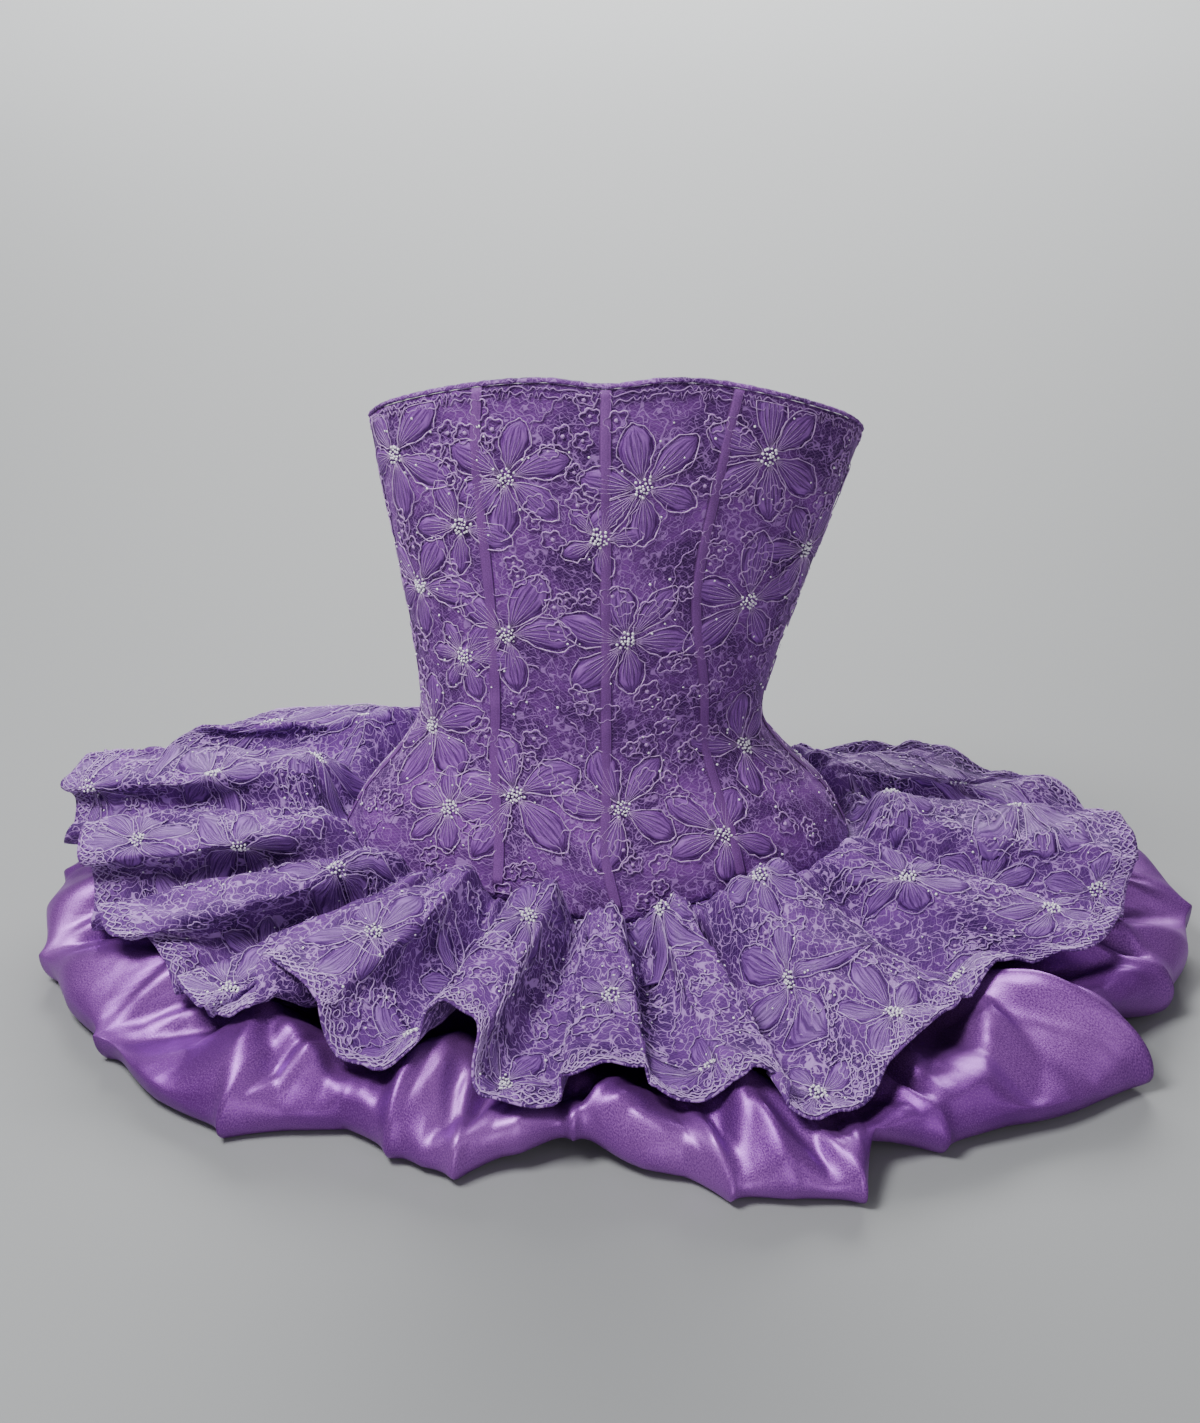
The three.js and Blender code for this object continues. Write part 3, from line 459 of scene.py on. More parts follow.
def seam_bearing(name, share):
    """The bearing of a named seam at a share of the way up."""
    fixed = {"centre_back_left": -180.0, "side_back_left": -SIDE_BACK_SEAM, "side_left": -SIDE_SEAM,
             "side_right": SIDE_SEAM, "side_back_right": SIDE_BACK_SEAM, "centre_back_right": 180.0}
    if name in fixed:
        return np.full_like(np.asarray(share, float), fixed[name])
    guess = {"princess_left": -30.0, "centre_front": 0.0, "princess_right": 30.0}[name]
    column = {"princess_left": "left", "centre_front": "centre", "princess_right": "right"}[name]
    return section[column](lerp(bottom_edge(guess), top_edge(guess), share))


# %% [markdown]
# ## The skirts
# Both skirts hang from the bodice's lower edge. In plan they are measured from a pole
# in the middle of that edge: a bearing, and how far the cloth reaches. The satin skirt
# is a bubble: it puffs out, turns under at its outline and lies flat on the table. Its
# outline has sharp corners where a fold is pinched. Cloth could be simulated, but then
# its folds fall by chance. Here each lobe and fold of the photograph is a row of a table.

# %% The satin skirt's tables
POLE_X, POLE_Y = -7.0, -5.0
RING_HALF, RING_DEPTH = 193.0, 100.0
SEAM_ALLOWANCE = 4.5
LACE_DROP, LACE_WALL = 1.6, 1.6
SATIN_DROP = LACE_DROP + LACE_WALL + SEAM_GAP + 0.1
SATIN_WALL = 2.0
SATIN_OUTLINE = [
    (-180, 214, 0, 34), (-160, 228, 0, 38), (-140, 268, 0, 38), (-124, 338, 0, 38), (-112, 398, 0, 40),
    (-100, 422, 2, 42), (-92, 430, 3, 40), (-86, 440, 0, 34), (-80, 439, 0, 24), (-73, 425, 0, 22),
    (-64, 411, 0, 24), (-54, 397, 0, 20), (-44, 382, 0, 12), (-39, 350, 0, 18), (-34, 324, 0, 16),
    (-26, 334, 0, 14), (-17, 338, 0, 12), (-12, 318, 6, 18), (-3, 299, 14, 16), (4, 312, 4, 14),
    (11, 331, 0, 12), (15, 357, 0, 12), (22, 373, 0, 14), (28, 391, 0, 10), (33, 360, 14, 18),
    (40, 382, 0, 16), (48, 402, 4, 20), (56, 434, 0, 16), (62, 457, 2, 12), (67, 420, 20, 20),
    (73, 452, 4, 20), (80, 468, 0, 26), (87, 473, 0, 36), (94, 452, 2, 44), (104, 420, 2, 42),
    (116, 372, 0, 40), (130, 302, 0, 38), (150, 238, 0, 38),
]
SATIN_CROWN = [
    (-180, 46, 60), (-130, 40, 64), (-95, 28, 66), (-70, 18, 48), (-45, 14, 42),
    (0, 12, 38), (30, 12, 42), (60, 16, 52), (90, 26, 70), (130, 40, 66),
]
SATIN_FOLDS = [
    (-51, 305, -44, 382, 30, 44), (-51, 305, -27, 333, 30, 40), (-68, 340, -75, 424, 20, 44),
    (-88, 345, -84, 434, 20, 44), (-24, 235, -27, 322, 30, 40), (3, 286, -16, 338, 32, 38),
    (3, 286, 12, 331, 26, 32), (21, 280, 21, 356, 28, 28), (30, 360, 28, 391, 22, 22),
    (30, 366, 47, 375, 20, 32), (47, 375, 58, 335, 22, 36), (61, 325, 62, 457, 32, 42),
    (67, 402, 62, 457, 18, 24), (67, 402, 74, 446, 22, 30), (80, 390, 85, 468, -20, 26),
    (76, 375, 80, 464, 18, 40), (100, 330, 104, 418, 20, 44), (122, 270, 116, 370, 20, 44),
    (146, 190, 150, 236, 18, 34), (178, 170, 180, 212, 18, 34), (-158, 180, -160, 226, 18, 34),
    (-130, 240, -124, 336, 20, 44), (-108, 320, -112, 396, 20, 44), (-38, 300, -36, 330, -16, 26),
    (-58, 320, -62, 405, -16, 30), (-4, 260, -5, 300, -14, 24), (34, 310, 33, 352, -18, 24),
    (68, 330, 68, 418, -18, 24), (-79, 350, -80, 432, -16, 28), (52, 320, 50, 398, -16, 28),
]
CORNER_SHARE = 0.5
SATIN_INSET, SATIN_TUCK = 14.0, 62.0
LOBE_ROUNDNESS = 2.2
FOLD_ROUNDING, FOLD_REACH, FOLD_START_SHARE = 2.5, 7.0, 0.3
HOLLOW_SHARE, LOBE_START_SHARE, LEAST_LOBE = 0.4, 0.35, 4.0
TOP_SHARE, UNDER_SHARE, TUCK_PART = 0.72, 0.88, 0.55
print("the satin has", len(SATIN_OUTLINE), "corners and", len(SATIN_FOLDS), "folds")

# %% The satin's plan
outline = columns(SATIN_OUTLINE, ("bearing", "reach", "lift", "belly"))
crown = columns(SATIN_CROWN, ("bearing", "hollow", "lobe"))
satin_hollow = smooth_through(crown["bearing"], crown["hollow"], 360.0)
satin_lobe = smooth_through(crown["bearing"], crown["lobe"], 360.0)


def satin_edge(name, bearing):
    """A column of the outline: half a smooth curve and half straight lines, not below 0."""
    straight = lines_through(outline["bearing"], outline[name], 360.0)(bearing)
    smooth = smooth_through(outline["bearing"], outline[name], 360.0)(bearing)
    return np.maximum(lerp(smooth, straight, CORNER_SHARE), 0.0)


def plan_place(bearing, reach):
    """x and y in plan, as far as reach from the pole at a bearing."""
    angle = np.radians(bearing)
    return POLE_X + reach * np.sin(angle), POLE_Y - reach * np.cos(angle)


def ring_reach(bearing):
    """1 / sqrt((sin b / half)^2 + (cos b / depth)^2)."""
    angle = np.radians(bearing)
    return 1 / np.hypot(np.sin(angle) / RING_HALF, np.cos(angle) / RING_DEPTH)


def section_bearing(bearing):
    """The bearing in a bodice section of the point that the pole sees at this bearing:
    tan of it is (sin b / half) / (cos b / depth)."""
    angle = np.radians(bearing)
    return np.degrees(np.arctan2(np.sin(angle) / RING_HALF, np.cos(angle) / RING_DEPTH))


def under_edge(bearing):
    """A place a seam allowance inside the bodice's lower edge."""
    bearing = turned(bearing)
    place = bodice_place(bearing, 0.0)
    along = bodice_place(bearing + 0.5, 0.0) - bodice_place(bearing - 0.5, 0.0)
    inward = unit(stack(-along[..., 1], along[..., 0], 0.0 * bearing))
    return place + inward * SEAM_ALLOWANCE


# %% The satin's height


def fold_height(x, y):
    """Each fold is a tent over its line: rise (1 - distance / width), with a rounded
    top. Ridges take the highest tent at a place, and troughs the lowest."""
    ridge, trough = np.zeros_like(x), np.zeros_like(x)
    for start, start_reach, end, end_reach, rise, width in SATIN_FOLDS:
        (x0, y0), (x1, y1) = plan_place(start, start_reach), plan_place(end, end_reach)
        dx, dy = x1 - x0, y1 - y0
        s = np.clip(((x - x0) * dx + (y - y0) * dy) / (dx * dx + dy * dy), 0.0, 1.0)
        off = np.hypot(x - x0 - s * dx, y - y0 - s * dy)
        tent = 1 - (np.hypot(off, FOLD_ROUNDING) - FOLD_ROUNDING) / width
        height = rise * np.maximum(tent, 0.0)
        ridge, trough = np.maximum(ridge, height), np.minimum(trough, height)
    return ridge + trough


def satin_top(bearing, out, x, y):
    """The upper face, where out is 0 at the seam and 1 at the outline. It falls from
    the seam to a hollow, rises to the lobe, and ends as (1 - out^p)^(1/p)."""
    seam = under_edge(section_bearing(bearing))[..., 2] - SATIN_DROP
    level = lerp(seam, satin_hollow(bearing), ease(out / HOLLOW_SHARE))
    level = lerp(level, satin_lobe(bearing), ease((out - LOBE_START_SHARE) / HOLLOW_SHARE))
    base = satin_edge("belly", bearing) + satin_edge("lift", bearing)
    top = np.maximum(level, base + LEAST_LOBE)
    edge = np.maximum(1 - out**LOBE_ROUNDNESS, 0.0) ** (1 / LOBE_ROUNDNESS)
    faded = ease(out / FOLD_START_SHARE) * np.sqrt(np.maximum(1 - out**FOLD_REACH, 0.0))
    return base + (top - base) * edge + fold_height(x, y) * faded


# %% [markdown]
# ## Creases
# Where satin is pinched at the floor, short creases fan out from the pinch and run
# inwards over the lobe, a ridge and a trough in turn. They are what makes satin glitter.
# A few more lie anywhere, as in any cloth that was folded. The outline itself is drawn
# in a little on both sides of each pinch.

# %% Creases
FAN_PINCHES = [
    (-92, 0.98), (-80, 0.96), (-64, 0.97), (-44, 1.0), (-26, 0.98), (-17, 0.97), (-3, 0.98), (15, 0.97),
    (28, 0.99), (40, 0.97), (62, 0.99), (74, 0.97), (87, 0.98), (104, 0.98), (122, 0.98), (-112, 0.98),
    (-130, 0.98), (-155, 0.98), (150, 0.98), (176, 0.98),
]
FAN_SPREADS, FAN_FOOT = (-9.0, -3.0, 3.0, 9.0), 0.1
FAN_TURN, FAN_LENGTH, FAN_WIDTH = (0.8, 1.3), (0.2, 0.42), (14.0, 22.0)
RIDGE_RISE, TROUGH_PART = (7.0, 12.0), -0.8
FREE_CREASES, FREE_START, FREE_SWERVE = 40, (0.62, 0.84), 4.0
FREE_LENGTH, FREE_RISE, FREE_WIDTH = (0.08, 0.2), (-3.5, 4.5), 12.0
CREASE_FOOT_WIDTH, CREASE_FULLNESS, CREASE_ROUNDING, CREASE_TOP = 0.45, 0.8, 0.2, 1.04
LOW_CREASE, HIGH_CREASE, UNCOVERED_FROM, UNCOVERED_OVER = 5.5, 14.0, 0.84, 0.1
CREASES_FROM, CREASES_OVER, CREASES_END = 0.5, 0.25, 10
PINCH_DEPTH, PINCH_BREADTH = 8.0, 2.6
crease_rng = np.random.default_rng(11)


def crease_table():
    """Rows of start bearing and share, end bearing and share, rise and width. From each
    pinched corner, ridges and troughs fan inwards in turn; the free ones lie anywhere."""
    rows = []
    for bearing, share in FAN_PINCHES:
        for k, spread in enumerate(FAN_SPREADS):
            rise = crease_rng.uniform(*RIDGE_RISE) * (1 if k % 2 else TROUGH_PART)
            inner_share = share - crease_rng.uniform(*FAN_LENGTH)
            inner = bearing + spread * crease_rng.uniform(*FAN_TURN)
            width = crease_rng.uniform(*FAN_WIDTH)
            rows.append((bearing + spread * FAN_FOOT, share, inner, inner_share, rise, width))
    for bearing in crease_rng.uniform(-180, 180, FREE_CREASES):
        start = crease_rng.uniform(*FREE_START)
        end = bearing + crease_rng.normal(0.0, FREE_SWERVE)
        end_share = start + crease_rng.uniform(*FREE_LENGTH)
        rows.append((bearing, start, end, end_share, crease_rng.uniform(*FREE_RISE), FREE_WIDTH))
    return rows


creases = crease_table()
print("creases in the satin:", len(creases))


def crease_height(bearing, out, x, y):
    """Short folds across the lobe: each rises as sin(pi s) along its line, and falls
    beside it as 1 - sqrt(d^2 + r^2), so that its top is sharp but not a cut. Under the
    lace they stay low, clear of it."""
    height = np.zeros_like(x)
    for start, share, end, end_share, rise, width in creases:
        ends = np.array([start, end])
        (x0, x1), (y0, y1) = plan_place(ends, satin_edge("reach", ends) * np.array([share, end_share]))
        dx, dy = x1 - x0, y1 - y0
        s = ((x - x0) * dx + (y - y0) * dy) / (dx * dx + dy * dy)
        breadth = width * lerp(CREASE_FOOT_WIDTH, 1.0, np.clip(s, 0, 1))
        off = np.hypot(x - x0 - s * dx, y - y0 - s * dy) / breadth
        along = np.sin(np.pi * np.clip(s, 0, 1)) ** CREASE_FULLNESS
        height += rise * along * np.maximum(CREASE_TOP - np.hypot(off, CREASE_ROUNDING), 0.0)
    most = lerp(LOW_CREASE, HIGH_CREASE, ease((out - UNCOVERED_FROM) / UNCOVERED_OVER))
    faded = ease((out - CREASES_FROM) / CREASES_OVER) * np.sqrt(np.maximum(1 - out**CREASES_END, 0.0))
    return np.minimum(height, most) * faded


def drawn_in(bearing):
    """How far the outline is drawn in beside each pinched corner: d q e^(1 - q), where
    q is the bearing's distance from the corner over a breadth."""
    total = np.zeros_like(bearing)
    for corner, _ in FAN_PINCHES:
        q = np.abs(turned(bearing - corner)) / PINCH_BREADTH
        total = np.maximum(total, PINCH_DEPTH * q * np.exp(1 - q))
    return total


# %% The satin skirt's surface


def satin_place(turn, share):
    """From the seam over the lobe to the outline, then a quarter of an ellipse down to
    the table, then flat inwards."""
    bearing = turn * 360 - 180
    drawn, ring = drawn_in(bearing), ring_reach(bearing)
    reach = satin_edge("reach", bearing) - drawn
    belly, lift = satin_edge("belly", bearing), satin_edge("lift", bearing)
    t = np.clip(share / TOP_SHARE, 0.0, 1.0)
    out = t * (2 - t)
    x, y = plan_place(bearing, lerp(ring, reach + drawn, out) - drawn * out**3)
    ring_x, ring_y = plan_place(bearing, ring)
    seam = under_edge(section_bearing(bearing))
    height = satin_top(bearing, out, x, y) + crease_height(bearing, out, x, y)
    top = stack(x - (ring_x - seam[..., 0]) * (1 - out), y - (ring_y - seam[..., 1]) * (1 - out), height)
    angle = np.clip((share - TOP_SHARE) / (UNDER_SHARE - TOP_SHARE), 0.0, 1.0) * np.pi / 2
    x, y = plan_place(bearing, reach - SATIN_INSET * (1 - np.cos(angle)))
    side = stack(x, y, lift + belly * (1 - np.sin(angle)))
    tuck = np.minimum(SATIN_TUCK, (reach - ring) * TUCK_PART)
    s = (share - UNDER_SHARE) / (1 - UNDER_SHARE)
    x, y = plan_place(bearing, reach - SATIN_INSET - tuck * s)
    under = stack(x, y, lift)
    picked = np.where((share <= TOP_SHARE)[..., None], top, side)
    return np.where((share <= UNDER_SHARE)[..., None], picked, under)


# %% [markdown]
# ## The gathered lace
# The lace skirt is a ruffle: far more cloth than seam, so it stands in rolls. Each row
# of its table is the crest of a roll or the dip after it, with the bearing at the seam
# and at the hem, how far the hem reaches, its height, the height of the puff under the
# seam, and how far the flanks lean. The lace lies on the satin but never in it.

# %% The lace skirt's tables
LACE_STATIONS = [
    (-176, -175, 176, 96, 152, 8), (-164, -163, 190, 68, 104, 8), (-151, -150, 205, 100, 144, 9),
    (-137, -134, 258, 74, 102, 9), (-122, -118, 324, 119, 146, 12), (-107, -109, 398, 84, 104, 12),
    (-93, -101, 434, 110, 140, 14), (-83, -94, 424, 72, 96, 14), (-72, -87, 403, 102, 130, 14),
    (-65, -80, 393, 50, 82, 14), (-59, -73, 387, 84, 118, 12), (-53, -66, 350, 40, 70, 12),
    (-49, -58, 350, 70, 108, 8), (-45, -51, 334, 36, 60, 8), (-39, -50, 292, 94, 118, 18),
    (-33, -31, 302, 34, 70, 9), (-14, -23, 252, 92, 118, 7), (-5, -11, 304, 32, 70, 12),
    (4, 1, 264, 60, 100, 10), (13, 14, 293, 34, 56, 10), (24, 22, 302, 62, 104, 10),
    (34, 28, 340, 34, 60, 10), (49, 47, 324, 66, 118, 6), (62, 62, 338, 46, 72, 6),
    (70, 72, 402, 80, 114, 7), (77, 80, 411, 56, 66, 7), (88, 90, 424, 91, 114, 10),
    (99, 101, 396, 66, 72, 10), (113, 112, 340, 82, 112, 10), (126, 126, 266, 62, 72, 10),
    (140, 141, 212, 80, 124, 9), (152, 154, 200, 60, 82, 9), (165, 167, 184, 92, 150, 6),
    (175, 176, 184, 62, 102, 6),
]
PUFF_SHARE = 0.2
CREST_BREADTH, GATHER_DEPTH = 0.2, 4.0
GATHER_FULL_SHARE, GATHER_END_SHARE = 0.1, 0.55
LEAN_FULL_SHARE, CLEAR_SHARE = 0.6, 0.12
LACE_CLEARANCE, LACE_EASE = 10.0, 7.0
SEAM_FLAT, FLAT_SHARE = 6.5, 0.03
SEAM_PUFF, HEM_DROOP, DROOP_FROM, DROOP_OVER = 10.0, 0.18, 0.6, 0.4
SMALL_GATHERS, SMALL_RISE, SMALL_SWERVE, SMALL_DRIFTS = 3, 3.0, 1.5, 5
BESIDE_OVER, BESIDE_FADES_FROM, BESIDE_FADES_OVER = 0.05, 0.07, 0.24
MOST_OUT = 0.97

ROUND = len(LACE_STATIONS)
ruffle = columns(LACE_STATIONS, ("seam", "bearing", "reach", "rise", "puff", "lean"))
stations = np.arange(ROUND)
lace_seam = smooth_through(stations, ruffle["seam"], ROUND, 360.0)
lace_bearing = smooth_through(stations, ruffle["bearing"], ROUND, 360.0)
lace_reach = smooth_through(stations, ruffle["reach"], ROUND)
lace_rise = smooth_through(stations, ruffle["rise"], ROUND)
lace_puff = smooth_through(stations, ruffle["puff"], ROUND)
lace_lean = smooth_through(stations, ruffle["lean"], ROUND)
print("the lace has", ROUND, "crests and dips")

# %% The satin below the lace, and the lace's small dents


def satin_under(x, y):
    """The height of the satin's upper face under a place of the plan."""
    bearing = np.degrees(np.arctan2(x - POLE_X, POLE_Y - y))
    away, ring = np.hypot(x - POLE_X, y - POLE_Y), ring_reach(bearing)
    out = np.clip((away - ring) / (satin_edge("reach", bearing) - ring), 0.0, MOST_OUT)
    return satin_top(bearing, out, x, y)


CRUMPLE, CRUMPLE_WAVES = 2.6, 16
CRUMPLE_LEVEL, CRUMPLE_SWING, CRUMPLE_MOST = 0.9, 0.6, 2.2
crumple_rng = np.random.default_rng(5)
crumple_round = crumple_rng.integers(50, 110, CRUMPLE_WAVES)
crumple_round = crumple_round * crumple_rng.choice([-1, 1], CRUMPLE_WAVES)
crumple_up = crumple_rng.uniform(12, 34, CRUMPLE_WAVES)
crumple_turn = crumple_rng.uniform(0, 2 * np.pi, CRUMPLE_WAVES)
print("waves round the lace:", sorted(int(n) for n in crumple_round))


def crumple(turn, share):
    """Small dents all over the lace, never below its roll: a (level + sum of waves),
    cut off at 0 and at a most."""
    total = np.zeros_like(turn + share)
    for waves, up, start in zip(crumple_round, crumple_up, crumple_turn):
        total += np.sin(2 * np.pi * waves * turn + up * share + start)
    total /= np.sqrt(CRUMPLE_WAVES / 2)
    return CRUMPLE * np.clip(CRUMPLE_LEVEL + total * CRUMPLE_SWING, 0.0, CRUMPLE_MOST)


# %% The lace skirt's surface


def lace_place(turn, share):
    """A straight line in plan from the seam to the hem, leaning out at the flanks of
    each roll. The height goes from the seam to the puff and the hem, and is kept
    above the satin by a smooth maximum. It is read at a level that stays near the
    crests, s - b sin(pi s), so that crests are broad and the dips narrow. Just below
    the seam small gathers and a low puff are added, and everywhere small dents."""
    station = turn * ROUND
    start = under_edge(section_bearing(lace_seam(station)))
    end_x, end_y = plan_place(lace_bearing(station), lace_reach(station))
    out_x, out_y = end_x - start[..., 0], end_y - start[..., 1]
    length = np.hypot(out_x, out_y)
    flat = SEAM_FLAT / length
    past = np.maximum(share - FLAT_SHARE, 0.0) / (1 - FLAT_SHARE)
    along = np.minimum(share / FLAT_SHARE, 1.0) * flat + past * (1 - flat)
    lean = lace_lean(station) * np.sin(2 * np.pi * station) * ease(past / LEAN_FULL_SHARE)
    x = start[..., 0] + out_x * along - out_y / length * lean
    y = start[..., 1] + out_y * along + out_x / length * lean
    level = station - CREST_BREADTH * np.sin(np.pi * station)
    ridge = lerp(lace_puff(level), lace_rise(level), ease(share))
    seam = start[..., 2] - LACE_DROP
    gathered = ease(share / GATHER_FULL_SHARE) * (1 - ease(share / GATHER_END_SHARE))
    pinch = GATHER_DEPTH * np.sin(2 * np.pi * station) * gathered
    free = lerp(seam, ridge + pinch, ease(share / PUFF_SHARE))
    least = lerp(seam, satin_under(x, y) + LACE_CLEARANCE, ease(share / CLEAR_SHARE))
    over = free - least
    droop = 1 - HEM_DROOP * ease((share - DROOP_FROM) / DROOP_OVER)
    height = least + (over + np.hypot(over, LACE_EASE)) / 2 * droop
    drift = SMALL_SWERVE * np.sin(2 * np.pi * SMALL_DRIFTS * turn)
    small = SEAM_PUFF + SMALL_RISE * np.sin(2 * np.pi * SMALL_GATHERS * station + drift)
    beside = ease(past / BESIDE_OVER) * (1 - ease((past - BESIDE_FADES_FROM) / BESIDE_FADES_OVER))
    height = height + crumple(turn, share) * ease(share / CLEAR_SHARE) + beside * small
    return stack(x, y, lerp(seam, height, ease(past / GATHER_FULL_SHARE)))


# %% Grids of both skirts
STEPS_PER_CORNER, LACE_STEPS, LACE_ROWS = 14, 18, 64
SATIN_TOP_ROWS, SATIN_SIDE_ROWS, SATIN_TUCK_ROWS = 60, 10, [0.94, 1.0]
corner_bearings = np.array(outline["bearing"] + [outline["bearing"][0] + 360], float)
shares_between = np.arange(STEPS_PER_CORNER) / STEPS_PER_CORNER
satin_turns = (corner_bearings[:-1, None] + np.diff(corner_bearings)[:, None] * shares_between).ravel()
satin_rows = np.concatenate([
    np.linspace(0, TOP_SHARE, SATIN_TOP_ROWS),
    np.linspace(TOP_SHARE, UNDER_SHARE, SATIN_SIDE_ROWS)[1:],
    SATIN_TUCK_ROWS,
])
satin_cloth = Cloth(satin_place, (satin_turns + 180) / 360, satin_rows, ring=True, outward=-1.0)

lace_turns = np.arange(ROUND * LACE_STEPS) / (ROUND * LACE_STEPS)
lace_rows = np.concatenate([[0.0, FLAT_SHARE * 0.5], np.linspace(FLAT_SHARE, 1.0, LACE_ROWS)])
lace_cloth = Cloth(lace_place, lace_turns, lace_rows, ring=True, outward=-1.0)
for name, cloth in (("satin", satin_cloth), ("lace", lace_cloth)):
    print(name, "from", cloth.P.min((0, 1)).round(), "to", cloth.P.max((0, 1)).round(), "mm")

# %% [markdown]
# ## Materials
# Satin is woven with long floats, so it shines like a soft metal: its highlights take
# the colour of the cloth. Lace is matt net with thicker threads laid on it. The net is
# much finer than a mesh could hold, so it is drawn by the material, in UV coordinates
# that are real metres on the cloth. Cords, beads and sequins are real meshes.

# %% Satin material
SATIN_PURPLE = colour(0.17, 0.032, 0.28)
SATIN_PALE = colour(0.52, 0.19, 0.69)
CASING_PURPLE = colour(0.12, 0.028, 0.19)
CASING_PALE = colour(0.31, 0.105, 0.43)


def satin_material(name, deep, pale, roughness, shine):
    """Clouds and grain mix the deep and the pale colour. The grain and the long slubs
    also change how rough the cloth is and raise it, and so do small wrinkles."""
    shader = Shader(name)
    uv = shader.uv()
    cloud = shader.noise(uv, (9.0, 9.0, 1.0), 3.0)
    grain = shader.noise(uv, (1300.0, 900.0, 1.0), 2.0)
    slubs = shader.noise(uv, (90.0, 900.0, 1.0), 2.0)
    wrinkles = shader.noise(uv, (38.0, 21.0, 1.0), 2.0)
    base = shader.mix(((cloud - 0.25) * 1.1 + (grain - 0.5) * 1.3).clamped(), deep, pale)
    rough = roughness + (grain - 0.5) * 0.35 + (slubs - 0.5) * 0.1
    bump = shader.add("ShaderNodeBump", {}, 0.22, 0.0005, Height=grain * 0.8 + slubs * 0.4)
    bump = shader.add("ShaderNodeBump", {}, 0.28, 0.006, Height=wrinkles, Normal=bump)
    return shader.finish(Base_Color=base, Roughness=rough, Metallic=shine, Normal=bump)


satin_skin = satin_material("satin", SATIN_PURPLE, SATIN_PALE, 0.43, 0.72)
casing_skin = satin_material("casing_satin", CASING_PURPLE, CASING_PALE, 0.7, 0.0)

# %% Net material
NET_PITCH = 0.0022
STRANDS = ((52.0, 0.016), (88.0, 0.020), (140.0, 0.022))


def net_material(name, ground, cloudy, thread, net_share, strand_share):
    """A ground cloth under a net: the net is a diamond grid of thin lines, the larger
    of two waves that cross at 60 degrees, over a cloudy ground. Thicker strands run
    where one of three noises is near its middle value, which makes curling lines."""
    shader = Shader(name)
    uv = shader.uv()
    across = shader.add("ShaderNodeSeparateXYZ", {}, uv)
    up = shader.add("ShaderNodeSeparateXYZ", {}, uv, out=1)
    turn = 2 * math.pi / NET_PITCH
    first = ((across * 0.5 + up * 0.866) * turn).sine()
    second = ((across * 0.5 - up * 0.866) * turn).sine()
    line = ((first.larger(second) - 0.72) * 4.0).clamped()
    cloud = shader.noise(uv, (24.0, 24.0, 1.0), 4.0)
    fine = shader.noise(uv, (330.0, 330.0, 1.0), 3.0)
    curls = []
    for scale, half in STRANDS:
        away = abs(shader.noise(uv, (scale, scale * 0.92, 1.0), 1.0) - 0.5)
        curls.append(((half - away) * (1.6 / half)).clamped())
    strand = curls[0].larger(curls[1]).larger(curls[2])
    base = shader.mix(((cloud - 0.34) * 2.2 + (fine - 0.5) * 0.6).clamped(), ground, cloudy)
    base = shader.mix(line * net_share, base, thread)
    base = shader.mix(strand * strand_share, base, thread)
    bump = shader.add("ShaderNodeBump", {}, 0.5, 0.0009, Height=line * 0.5 + fine * 0.5 + strand)
    return shader.finish(Base_Color=base, Roughness=0.62 - line * 0.08, Normal=bump,
                         Sheen_Weight=0.05, Sheen_Roughness=0.4, Specular_IOR_Level=0.2)


bodice_net = net_material("bodice_lace", colour(0.050, 0.008, 0.095), colour(0.24, 0.062, 0.37),
                          colour(0.43, 0.21, 0.60), 0.22, 0.7)
skirt_net = net_material("skirt_lace", colour(0.045, 0.008, 0.10), colour(0.19, 0.055, 0.32),
                         colour(0.50, 0.27, 0.69), 0.14, 0.85)

# %% [markdown]
# ## Building the bodice
# Eight panels meet at eight seams. Each panel is its own wall, with a hair's breadth
# between it and the next. Cloth over bones is never quite smooth, so low puckers run
# across the seams and up the panels. Over seven of the seams lies a satin casing with
# a bone in it, and the top edge is bound with a cord of the same cloth.

# %% Panels
PANELS = [
    ("centre_back_left", "centre_back_left", "side_back_left", 42),
    ("side_back_left", "side_back_left", "side_left", 46),
    ("side_front_left", "side_left", "princess_left", 58),
    ("centre_front_left", "princess_left", "centre_front", 34),
    ("centre_front_right", "centre_front", "princess_right", 34),
    ("side_front_right", "princess_right", "side_right", 62),
    ("side_back_right", "side_right", "side_back_right", 46),
    ("centre_back_right", "side_back_right", "centre_back_right", 42),
]
PANEL_ROWS = 92
PUCKER = 0.7
MM_A_DEGREE = 3.0
SIDE_FADE, END_FADE = 8, 20
BEARING_STEP, SHARE_STEP = 0.2, 0.01


def pucker(bearing, share):
    """Low folds up the cloth and across it: a sum of sines whose waves drift."""
    up = np.sin(np.radians(bearing) * 23 + 2.2 * np.sin(share * 7.0)) * np.sin(share * 5.2 + 1.0)
    across = np.sin(share * 61 + 3 * np.sin(np.radians(bearing) * 5)) * np.sin(np.radians(bearing) * 11)
    return PUCKER * (0.6 * up + 0.4 * across)


def bodice_normal(bearing, share):
    """The direction out of the bodice: a step across it crossed with a step up it."""
    across = bodice_place(bearing + BEARING_STEP, share) - bodice_place(bearing - BEARING_STEP, share)
    above, below = np.minimum(share + SHARE_STEP, 1), np.maximum(share - SHARE_STEP, 0)
    return unit(np.cross(across, bodice_place(bearing, above) - bodice_place(bearing, below)))


